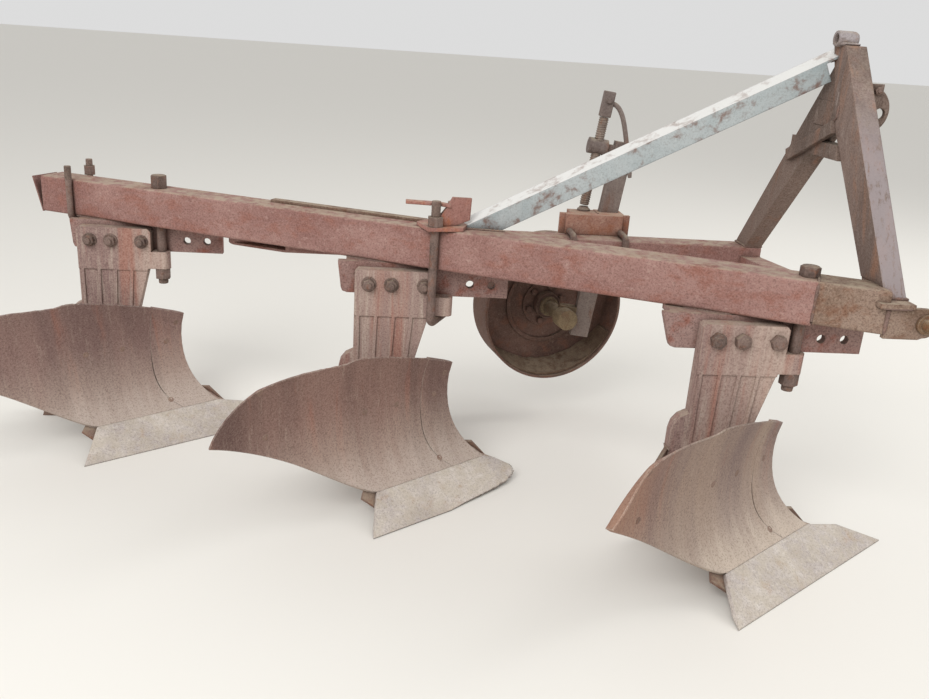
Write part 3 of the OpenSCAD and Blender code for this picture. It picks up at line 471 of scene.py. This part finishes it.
class Shape:
    """Collects rings of points into one mesh piece."""

    def __init__(self):
        self.mesh = bmesh.new()

    def rings(self, rings, loop=False):
        """A skin over rings of as many points each, closed at both ends or joined into a loop."""
        made = [[self.mesh.verts.new(W(*p)) for p in ring] for ring in rings]
        pairs = list(zip(made, made[1:])) + ([(made[-1], made[0])] if loop else [])
        count = len(made[0])
        for low, high in pairs:
            for i in range(count):
                j = (i + 1) % count
                self.mesh.faces.new((low[i], low[j], high[j], high[i]))
        if not loop:
            self.mesh.faces.new(list(reversed(made[0])))
            self.mesh.faces.new(made[-1])

    def sheet(self, front, back):
        """A closed plate between two grids of points of the same size."""
        front, back = [[[self.mesh.verts.new(W(*p)) for p in row] for row in grid] for grid in (front, back)]
        rows, cols = len(front), len(front[0])
        for i in range(rows - 1):
            for j in range(cols - 1):
                self.mesh.faces.new((front[i][j], front[i + 1][j], front[i + 1][j + 1], front[i][j + 1]))
                self.mesh.faces.new((back[i][j], back[i][j + 1], back[i + 1][j + 1], back[i + 1][j]))
            for j in (0, cols - 1):
                self.mesh.faces.new((front[i][j], back[i][j], back[i + 1][j], front[i + 1][j]))
        for j in range(cols - 1):
            for i in (0, rows - 1):
                self.mesh.faces.new((front[i][j], front[i][j + 1], back[i][j + 1], back[i][j]))

    def turned(self, at, axis, profile, steps=32, loop=False):
        """A turned form: profile is radius and height pairs up the axis."""
        axis, side, other = axes_for(axis)
        at = Vector(at)
        self.rings([[at + axis * h + side * (r * math.cos(a)) + other * (r * math.sin(a))
                     for a in circle(steps)] for r, h in profile], loop)

    def washer(self, at, axis, outer, inner, thick, steps=32):
        chamfer = [(outer, thick * 0.75), (outer - thick * 0.3, thick)]
        self.turned(at, axis, [(inner, 0), (outer, 0), *chamfer, (inner, thick)], steps, loop=True)

    def nut(self, at, axis, across, height, turn=0.0):
        """A hexagon with its corners rounded off at the top, as on a nut or bolt head."""
        axis, side, other = axes_for(axis)
        at = Vector(at)
        flat = across / 2
        angles = circle(36)

        def ring(radii, heights):
            return [at + axis * h + side * (r * math.cos(a + turn)) + other * (r * math.sin(a + turn))
                    for r, h, a in zip(radii, heights, angles)]

        full = [flat / math.cos((a + math.pi / 6) % (math.pi / 3) - math.pi / 6) for a in angles]
        self.rings([
            ring(full, [0.0] * len(full)),
            ring(full, [height - (r - flat * 0.96) * 0.62 for r in full]),
            ring([flat * 0.95] * len(full), [height] * len(full)),
            ring([flat * 0.2] * len(full), [height + 0.3] * len(full)),
        ])

    def thread(self, at, axis, root, crest, pitch, length, steps=28):
        """A threaded rod's outside, with blunt ends."""
        axis, side, other = axes_for(axis)
        at = Vector(at)
        rows = max(4, int(round(length / pitch * 6)))
        rings = []
        for row in range(rows + 1):
            h = length * row / rows
            ring = []
            for i, a in enumerate(circle(steps)):
                phase = (h / pitch - i / steps) % 1
                ridge = max(0.0, 1 - abs(phase - 0.5) * 2.6)
                fade = min(1.0, h / 3, (length - h) / 2 + 0.2)
                r = root + (crest - root) * ridge * max(0.0, fade)
                ring.append(at + axis * h + side * (r * math.cos(a)) + other * (r * math.sin(a)))
            rings.append(ring)
        self.rings(rings)

    def rod(self, points, radius):
        """A round bar through points that lie nearly in one plane across Y."""
        rings = []
        for i, at in enumerate(points):
            ahead = points[min(i + 1, len(points) - 1)] - points[max(i - 1, 0)]
            side = ahead.cross(Vector((0, 1, 0))).normalized()
            other = ahead.normalized().cross(side)
            width = radius * (0.75 if i in (0, len(points) - 1) else 1.0)
            rings.append([at + (side * math.cos(b) + other * math.sin(b)) * width
                          for b in circle(20)])
        self.rings(rings)

    def bead(self, points, radius, seed, closed=False):
        """A weld bead along a line of points: ripples, and a width that wanders."""
        rng = random.Random(seed)
        path = []
        ends = list(zip(points, points[1:])) + ([(points[-1], points[0])] if closed else [])
        for a, b in ends:
            a, b = Vector(a), Vector(b)
            steps = max(2, int((b - a).length / 2.6))
            path += [a.lerp(b, i / steps) for i in range(steps)]
        if not closed:
            path.append(Vector(points[-1]))
        rings = []
        flat = 0.75
        wide = 1.0
        for i, at in enumerate(path):
            before = path[i - 1] if (i or closed) else path[0]
            after = path[(i + 1) % len(path)] if (i + 1 < len(path) or closed) else path[-1]
            axis, side, other = axes_for((after - before) if (after - before).length > 1e-6 else (1, 0, 0))
            wide = 0.85 * wide + 0.15 * rng.uniform(0.75, 1.3)
            r = radius * wide * (1.0 + 0.14 * math.sin(i * 1.9)) * rng.uniform(0.94, 1.06)
            if not closed and (i < 2 or i > len(path) - 3):
                r *= 0.6
            rings.append([at + (side * math.cos(b) + other * math.sin(b) * flat) * r
                          for b in circle(8)])
        self.rings(rings, loop=closed)

    def piece(self, name, look, slot, body="frame", angle=35, replaces=()):
        """Make the mesh a piece that rides on a body, in place of the nodes that it replaces."""
        bmesh.ops.recalc_face_normals(self.mesh, faces=self.mesh.faces)
        data = bpy.data.meshes.new(name)
        self.mesh.to_mesh(data)
        self.mesh.free()
        made = bpy.data.objects.new(name, data)
        bpy.context.scene.collection.objects.link(made)
        data.materials.append(LOOKS[look])
        smooth_faces(made, angle)
        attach(made, body)
        for node in replaces:
            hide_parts(node)
        return made


def head_bolts():
    """Nuts, washers and bolt ends on both faces of each standard's head."""
    rng = random.Random(4)
    near_face_y, far_face_y = -85, -29
    for k in BODIES:
        shape = Shape()
        for x in HEAD_BOLTS_X:
            at = Vector((x, near_face_y, BOLT_HOLE_Z)) + body_shift(k)
            turn = rng.uniform(0, 1)
            if k == 1:
                shape.nut(at, RIGHT, 33, 17, turn)
                shape.turned(at + Vector((0, -17, 0)), RIGHT, [(12, 0), (11, 2.5), (5, 3.2)])
            else:
                shape.washer(at, RIGHT, 19.5, 10, 4)
                shape.nut(at + Vector((0, -4, 0)), RIGHT, 27, 13, turn)
                shape.thread(at + Vector((0, -16, 0)), RIGHT, 7.6, 8.8, 2.4, 9)
        for x in HEAD_BOLTS_X:
            at = Vector((x, far_face_y, BOLT_HOLE_Z)) + body_shift(k)
            shape.washer(at, LEFT, 19, 10, 4)
            shape.nut(at + Vector((0, 4, 0)), LEFT, 30, 15, rng.uniform(0, 1))
        shape.piece(f"head_bolts_{k}", "bolt", "bolt_steel")


# each wing is bent and worn in its own way: its tip as s and z, and how far the seam gapes
WING_TIPS = {1: (775, 338), 2: (743, 295), 3: (752, 317)}
SEAM_SLITS = {1: 5.0, 2: 2.2, 3: 2.2}
WING_LOW_Z, CREST_START = 66.15, (127, 373)


def bar_section(wide, high, cut_x, cut_z):
    """Outline of a flat bar with cut corners, from its lower left and round."""
    x, z = wide / 2, high / 2
    return [(-x, cut_z - z), (cut_x - x, -z), (x - cut_x, -z), (x, cut_z - z),
            (x, z - cut_z), (x - cut_x, z), (cut_x - x, z), (-x, z - cut_z)]


def wings():
    """The wings with the crest of the photo, fuller than that of the solids, and the open seam in front."""
    cols, rows, corner_at, shoulder_at = 60, 36, 0.375, 0.8
    seam = [(172, WING_LOW_Z), (140, 128), (72, 225), CREST_START]
    share_corner = Vector((SHARE_BACK, WING_LOW_Z))
    for k, tip in WING_TIPS.items():
        rng = random.Random(20 + k)
        crest = [CREST_START, (605, 512), (217, 341), (364, 442), (700, 473), tip]

        def front(v):
            opening = 0.8 + SEAM_SLITS[k] * max(0.0, math.sin(math.pi * (v - 0.16) / 0.5)) * (v < 0.66)
            return bezier(seam, v) + Vector((opening, 0))

        def foot(u):
            if u < corner_at:
                return front(0).lerp(share_corner, u / corner_at)
            return bezier([share_corner, (508, 213), tip], (u - corner_at) / (1 - corner_at))

        def top(u):
            return bezier(crest, shoulder_at * u)

        def tail(v):
            return bezier(crest, 1 - (1 - shoulder_at) * v)

        def inside(u, v):
            ruled = foot(u) * (1 - v) + top(u) * v + front(v) * (1 - u) + tail(v) * u
            corners = (front(0) * (1 - v) + front(1) * v) * (1 - u) + (tail(0) * (1 - v) + tail(1) * v) * u
            return ruled - corners

        face, rear = [], []
        # the top edge is a little chipped, and the plate thins to its rim
        for i in range(cols + 1):
            chip = rng.uniform(-1.4, 0.4)
            places = [inside(i / cols, j / rows) for j in range(rows + 1)]
            places[-1] = places[-1] + Vector((0, chip))
            face.append([wing_at(s, z) + body_shift(k) for s, z in places])
            thick = [BOARD_T * min(1.0, 0.4 + 0.6 * min(rows - j, cols - i) / 3) for j in range(rows + 1)]
            rear.append([p - out_of(wing_at, s, z) * deep
                         for p, (s, z), deep in zip(face[-1], places, thick)])
        shape = Shape()
        shape.sheet(face, rear)
        shape.piece(f"wing_steel_{k}", f"board_{k}", "board_steel", angle=40, replaces=(f"wing_{k}",))


def wing_stays():
    """A pad behind each wing and the flat bar from it to the standard's arm."""
    arm = Vector((-648.2, -68, 272))
    stay_s, stay_z = 560, 290
    thick, high = 10, 40
    for k in BODIES:
        shape = Shape()
        back = -out_of(wing_at, stay_s, stay_z)
        foot = wing_at(stay_s, stay_z) + back * (BOARD_T + 0.4)
        shape.turned(foot + body_shift(k), back, [(26, 0), (26, 13), (24, 16)], 40)
        near = foot + back * 10
        run = (arm - near).normalized()
        side = run.cross(Vector((0, 0, 1))).normalized()
        upright = side.cross(run)
        section = [side * x + upright * z for x, z in bar_section(thick, high, 1, 1)]
        ends = []
        for corner in section:
            reach = (arm.x - near.x - corner.x) / run.x
            ends.append((near + corner, near + corner + run * reach))
        shape.rings([[e[i] + body_shift(k) for e in ends] for i in (0, 1)])
        shape.piece(f"wing_stay_{k}", "landside", "landside_steel", replaces=(f"stay_{k}",))


def plate_bolts():
    """Flush plough bolts of breast and wing, and of the landsides."""
    # s and z on a board, and x and z on a landside
    on_board = [(25, 308), (57, 252), (161, 88), (193, 256), (293, 260), (569, 271), (599, 400)]
    on_landside = [(-318, 58), (-382, 58), (-446, 58)]
    for k in BODIES:
        shape = Shape()
        for s, z in on_board:
            surface = board_at if s < WING_START else wing_at
            out = out_of(surface, s, z)
            at = surface(s, z) + body_shift(k)
            shape.turned(at - out * 2.0, out, [(8.5, 0), (8.5, 2.1), (7.6, 2.7), (3.0, 2.4)], 24)
        for x, z in on_landside:
            at = Vector((x, 0, z)) + body_shift(k)
            shape.turned(at - Vector((0, 1.5, 0)), LEFT, [(12, 0), (12, 1.2), (10.8, 2.2), (4, 2.6)], 24)
        shape.piece(f"plate_bolts_{k}", "plate_bolt", "bolt_steel")


def clamp_threads():
    """Threaded ends of the U bolts and upright bolts, and their nuts."""
    shape = Shape()
    leg_gap = BEAM_W + REPAIR_ROD + 2 * SEAT
    for side, length in ((-1, 38), (1, 20)):
        at = along(CLAMP_S, side * leg_gap / 2, BEAM_TOP + 34)
        shape.thread(at, UP, 11.05, 12.1, 2.8, length)
    skew = math.radians(11)
    reach = (BEAM_W + REAR_ROD + 2 * SEAT) / math.cos(skew) / 2
    for side, bottom, length in ((-1, 2, 36), (1, 26, 18)):
        s = REAR_CLAMP_S - side * reach * math.sin(skew)
        at = along(s, side * reach * math.cos(skew), BEAM_TOP + bottom)
        shape.thread(at, UP, 9.05, 10.0, 2.6, length)
    # U bolts of the wheel bracket
    for x in (-800, -648):
        for y, z, length in ((560, 668.3, 21), (572, 569.7, 27)):
            shape.thread((x, y, z), LEFT, 9.05, 9.9, 2.6, length)
    # upright bolts of the front and rear bodies, whose heads differ in height
    for k, head_h in ((1, 22), (3, 34)):
        s = -(k - 1) * STEP_LENGTH
        shape.thread(along(s, 0, 447), UP, 13.05, 14.0, 3.0, 13)
        head = along(s, 0, BEAM_TOP + SEAT + head_h)
        shape.turned(head, UP, [(21, 0), (18.5, 2.2), (6, 2.8)])
    shape.piece("threaded_ends", "bolt", "bolt_steel", angle=50)


def depth_thread():
    """The depth screw with its thread, and a collar where it stands on the bracket."""
    shape = Shape()
    start = (BRACKET_TOP + 0.5 - AXLE_Z) / math.cos(POST_LEAN) + 8
    at = on_post(-SCREW_OFF, 0, start)
    axis = on_post(-SCREW_OFF, 0, start + 1) - at
    shape.thread(at, axis, 12.4, 14.9, 6.5, SCREW_TOP - 1 - start, 32)
    shape.turned(Vector((at.x, at.y, BRACKET_TOP + SEAT)), UP, [(19, 0), (19, 5), (15, 8), (13, 12)])
    shape.piece("screw_thread", "screw", "pin_steel", replaces=("depth_screw",), angle=50)


def welds():
    """Weld beads where the frame's pieces meet."""
    shape = Shape()
    seed = iter(range(1, 200))

    def bead(points, radius, closed=False):
        shape.bead(points, radius, next(seed), closed)

    # front piece of the beam on the beam
    ring = ((-47.6, 630), (-47.6, 714), (-40, 724.2), (40, 724.2), (47.6, 714), (47.6, 632), (38, 624),
            (-38, 624))
    bead([along(FRONT_SEAM_S, t, z) for t, z in ring], 3.4, True)
    # foot of the right mast leg
    bead([(x, y, 701.5) for x, y in ((-188, -150), (-238, -150), (-238, -52), (-188, -52))], 5.0, True)
    # pad and hitch plate
    bead([(-240.5, -178.4, 628), (-240.5, -178.4, 688)], 4.5)
    bead([(-262, -188, 689), (-190, -188, 689)], 3.0)
    bead([(-227, -165, 688), (-227, -84, 688)], 4.0)
    bead([(-227, -83, 686), (-227, -83, 630)], 4.0)
    # foot of the left mast leg
    bead([(x, y, 660.5) for x, y in ((-240, 525), (-290, 525), (-290, 595), (-240, 595))], 4.6, True)
    # top link ears
    for y in (97.2, 110.8):
        bead([(-244.4, y, 1030), (-244.4, y, 1138)], 3.4)
    for y in (161.2, 174.8):
        bead([(-239.5, y, 1032), (-239.5, y, 1138)], 3.4)
    # strut on the beam's top and on the leg
    bead([(-1150, 272.5, 725), (-1105, 266, 725), (-1035, 255.5, 725)], 4.6)
    bead([(-295.8, 168, 1192), (-296, 196, 1184)], 4.0)
    # ties between the legs
    bead([(-295.5, 146, 1038), (-295.5, 115, 1062), (-295.5, 114, 1090)], 3.6)
    # brackets under the beam
    for k in BODIES:
        base = -(k - 1) * STEP_LENGTH
        bead([along(base - 262, -42, 619.6), along(base - 152, -42, 619.6)], 4.2)
        shift = body_shift(k)
        bead([Vector((-300, -49.4, 619)) + shift, Vector((-262, -49.4, 619)) + shift], 3.6)
        bead([Vector((-620, -28.8, 606.4)) + shift, Vector((-430, -28.8, 606.4)) + shift], 4.0)
        # stay on the standard
        bead([Vector((-649, -90, 291)) + shift, Vector((-649, -50, 291)) + shift], 3.2)
    # longitudinal beam on the main beam, and the tie beam
    joint_s = -1395
    bead([along(joint_s + 60, 47.8, 722), along(joint_s + 280, 47.8, 722)], 3.6)
    bead([(-240.4, 520.5, 584), (-240.4, 520.5, 632)], 3.6)
    # the post's guide on its plate
    for side in (-1, 1):
        low, high = on_post(side * 39.3, 0, 206), on_post(side * 39.3, 0, 331)
        bead([(low.x, 614.6, low.z), (high.x, 614.6, high.z)], 4.0)
    bead([(-795, 614.6, 687), (-757, 614.6, 687)], 3.6)
    shape.piece("weld_beads", "weld", "frame_paint", angle=60)


def hub_rings():
    """Rings on the hub's near end, and the bolts in the disc."""
    shape = Shape()
    out = on_axle(0, -1, 0) - on_axle(0, 0, 0)
    disc_y = NEAR_RIM + DISC_IN
    hub_y = disc_y + DISC_T / 2 - HUB_LEN / 2
    for radius, width, high in ((38, 3.2, 2.4), (30.5, 2.4, 1.8)):
        shape.washer(on_axle(0, hub_y + SEAT, 0), out, radius + width, radius, high, 48)
    bolts, bolt_circle = 6, 58
    for i in range(bolts):
        a = math.radians(360 / bolts * i + 17)
        at = on_axle(bolt_circle * math.cos(a), disc_y - 8, bolt_circle * math.sin(a))
        shape.nut(at, out, 19, 10, 0.3 * i)
    shape.piece("hub_rings", "wheel", "wheel_steel", body="gauge_wheel")


def caked_earth():
    """Dry earth at the bottom of the dish, between the rim's edge and the disc."""
    rng = random.Random(9)
    across, around = 12, 56
    bumps = [[rng.uniform(-1, 1) for _ in range(across + 1)] for _ in range(around + 1)]
    half = math.radians(62)
    rim_radius, near, width = 223.2, 100, 77.5

    def height(i, j):
        a = -1 + 2 * i / around
        y = j / across
        mean = sum(bumps[min(around, max(0, i + di))][min(across, max(0, j + dj))]
                   for di in (-1, 0, 1) for dj in (-1, 0, 1)) / 9
        crown = max(0.0, 1 - a * a) ** 0.8
        return crown * (9 + 26 * y ** 1.4) + 5 * mean * crown

    def point(i, j, lift):
        a = -math.pi / 2 + half * (-1 + 2 * i / around) + 0.12
        radius = rim_radius - lift
        return on_axle(radius * math.cos(a), near + width * j / across, radius * math.sin(a))

    top, bottom = [[[point(i, j, max(0.4, height(i, j)) if lifted else 0.2) for j in range(across + 1)]
                    for i in range(around + 1)] for lifted in (True, False)]
    soil = Shape()
    soil.sheet(top, bottom)
    soil.piece("caked_earth", "earth", "wheel_steel", body="gauge_wheel", angle=80)


def ear_bolt():
    """The small bolt on the right top link ear."""
    shape = Shape()
    shape.nut((-219, 98, 1128), RIGHT, 17, 9, 0.4)
    shape.turned((-219, 90, 1128), RIGHT, [(5.6, 0), (5.4, 4), (2, 4.6)], 20)
    shape.piece("ear_bolt", "bolt", "bolt_steel")


def knees():
    """The plate behind the corner of each wing and share, which holds the two together."""
    outline = [(380, 95), (428, 80), (468, 68), (490, 48), (470, 28), (380, 28)]
    for k in BODIES:
        shape = Shape()
        shape.rings([[board_at(s, z) - out_of(board_at, s, z) * deep + body_shift(k) for s, z in outline]
                     for deep in (SHARE_T + 0.4, 20)])
        shape.piece(f"knee_{k}", "landside", "landside_steel")


def worn_share():
    """The middle share, whose point and front edge are worn round and ragged."""
    rng = random.Random(31)
    cols, rows = 110, 10
    worn_edge = [(56, 40), (100, 10), (270, 14), (402, 3.2)]
    sound_edge = [(402, 3.2), (SHARE_LEN, 3.2)]
    neck = [(46, 58), (55, SHARE_TOP)]
    back_edge = [(55, SHARE_TOP), (SHARE_BACK, SHARE_TOP)]
    land_y = body_shift(2).y
    face, rear = [], []
    for i in range(cols + 1):
        u = i / cols
        low = bezier(worn_edge, u / 0.5) if u < 0.5 else bezier(sound_edge, (u - 0.5) / 0.5)
        ragged = max(0.0, 1 - u / 0.5) * 0.8
        low = low + Vector((rng.uniform(-1.5, 1.5) * ragged, rng.uniform(-2.0, 2.6) * ragged))
        high = bezier(neck, u / 0.1) if u < 0.1 else bezier(back_edge, (u - 0.1) / 0.9)
        places = [low.lerp(high, j / rows) for j in range(rows + 1)]
        face.append([board_at(s, z) + body_shift(2) for s, z in places])
        # the back stays right of the land side's face and above the ground
        row = []
        for p, (s, z) in zip(face[-1], places):
            back = p - out_of(board_at, s, z) * min(SHARE_T, z * 0.9)
            row.append(Vector((back.x, min(back.y, land_y), max(0.2, back.z))))
        rear.append(row)
    shape = Shape()
    shape.sheet(face, rear)
    shape.piece("share_steel_2", "share", "share_steel", angle=40, replaces=("share_2",))


def landsides():
    """The landsides, short enough that the boards hide their rear ends from the photo's side."""
    start, bottom, heel_top = -210, 0.2, 14
    for k, length in ((1, 440), (2, 440), (3, 560)):
        end = start - length
        outline = [(start, 14), (start - 40, bottom), (end, bottom), (end, LANDSIDE_H - 18),
                   (end + 30, LANDSIDE_H), (start - 60, LANDSIDE_H), (start - 14, 50)]
        shape = Shape()
        shape.rings([[Vector((x, y, z)) + body_shift(k) for x, z in outline] for y in (-LANDSIDE_T, -0.6, 0)])
        if k == 3:
            heel = [(end + 4, bottom), (end + 114, bottom), (end + 110, heel_top), (end + 8, heel_top)]
            shape.rings([[Vector((x, y, z)) + body_shift(k) for x, z in heel]
                         for y in (-46, -45, -LANDSIDE_T - 0.2)])
        shape.piece(f"landside_steel_{k}", "landside", "landside_steel", replaces=(f"landside_{k}",))


def strap():
    """The cut plate that stands on the clamp plate, and the flat bar bent off it to the rear."""
    shape = Shape()
    foot = along(CLAMP_S + 18, -46, BEAM_TOP + 10.6)
    turn = math.radians(24)
    run = Vector((math.cos(turn), math.sin(turn), 0))
    side = Vector((-math.sin(turn), math.cos(turn), 0))
    plate = [(-34, 0), (34, 0), (74, 12), (76, 68), (24, 72), (10, 50)]
    shape.rings([[foot + run * u + side * y + Vector((0, 0, z)) for u, z in plate] for y in (0, 0.8, 7.2, 8)])
    root = foot + run * 14 + side * 4 + Vector((0, 0, 53))
    # the bar's way to the rear, to the left and up
    way = ((-4, 0, -3), (20, 3, 0), (60, 4, 1), (108, 2, 2.5))
    section = bar_section(20, 9, 2, 1.5)
    shape.rings([[root + Vector((-rearward, across + left, up + lift)) for across, up in section]
                 for rearward, left, lift in way])
    shape.piece("strap_steel", "strap", "clamp_paint", replaces=("bent_strap",))


def head_boss():
    """The tube on top of the mast, open to the rear and rounded over at its front."""
    shape = Shape()
    boss_x, boss_r = -307, 18
    bore = [(0.5, 34), (10.5, 33), (11, 1.5)]
    outside = [(12, 0), (boss_r - 1, 0), (boss_r, 1.5), (boss_r, 38), (17, 44), (14, 49), (9, 52), (0.5, 53)]
    shape.turned((boss_x, LEG_TOP_Y, MAST_TOP + boss_r - 4), FORWARD, bore + outside, 48)
    # welds between the leg's end and the tube
    for y in (152, 186):
        shape.bead([(boss_x + 3, y, MAST_TOP + 3), (boss_x + 51, y, MAST_TOP + 3)], 5.5, y)
    shape.piece("boss_steel", "boss", "frame_paint", replaces=("mast_head",), angle=50)


def crank():
    """The crank: a block with a bolt head, and the handle bent down beside the post."""
    shape = Shape()
    block = ((SCREW_TOP + 0.4, 14), (SCREW_TOP + 2, 15.5), (SCREW_TOP + 70, 15.5), (SCREW_TOP + 72.3, 14))
    shape.rings([[on_post(x - SCREW_OFF, y, z) for x, y in bar_section(2 * half, 2 * half, 2.5, 2.5)]
                 for z, half in block])
    shape.nut(on_post(-SCREW_OFF, -15.5, 647), on_post(0, -1, 0) - on_post(0, 0, 0), 15, 8, 0.3)
    bend = [(-62, -4, 640), (-44, -12, 640), (-26, -26, 622), (-16, -28, 580), (-4, -28, 545), (16, -28, 500),
            (33, -28, 446)]
    shape.rod([on_post(*bezier(bend, i / 30)) for i in range(31)], 7.0)
    shape.piece("crank_steel", "post", "pin_steel", replaces=("depth_crank",), angle=40)


wings()
wing_stays()
knees()
worn_share()
landsides()
strap()
head_boss()
crank()
head_bolts()
plate_bolts()
clamp_threads()
depth_thread()
welds()
hub_rings()
caked_earth()
ear_bolt()


def make_stage():
    """A pale floor, an even white sky and two soft lights."""
    floor = Graph("floor")
    surface = floor.node("ShaderNodeBsdfPrincipled")
    surface.inputs["Base Color"].default_value = linear("#e6e3dc")
    surface.inputs["Roughness"].default_value = 0.95
    floor.feed(floor.node("ShaderNodeOutputMaterial").inputs[0], surface.outputs[0])
    mesh = bpy.data.meshes.new("floor")
    far = 60.0
    mesh.from_pydata([(-far, -far, 0), (far, -far, 0), (far, far, 0), (-far, far, 0)], [], [(0, 1, 2, 3)])
    plane = bpy.data.objects.new("floor", mesh)
    mesh.materials.append(floor.material)
    bpy.context.scene.collection.objects.link(plane)
    world = bpy.data.worlds.new("studio")
    world.use_nodes = True
    world.node_tree.nodes["Background"].inputs[0].default_value = (1.0, 1.0, 1.0, 1)
    world.node_tree.nodes["Background"].inputs[1].default_value = 0.72
    bpy.context.scene.world = world
    # both lights point at the frame's zero, on the ground under the middle of the part
    for label, at, size, power in (("key", (-2.5, -4.5, 4.5), 3.5, 260), ("fill", (4.5, 1.5, 4.0), 3.0, 90)):
        light = bpy.data.lights.new(label, "AREA")
        light.size = size
        light.energy = power
        lamp = bpy.data.objects.new(label, light)
        lamp.location = at
        lamp.rotation_euler = (-Vector(at)).to_track_quat("-Z", "Y").to_euler()
        bpy.context.scene.collection.objects.link(lamp)
    bpy.context.scene.view_settings.view_transform = "Standard"


make_stage()
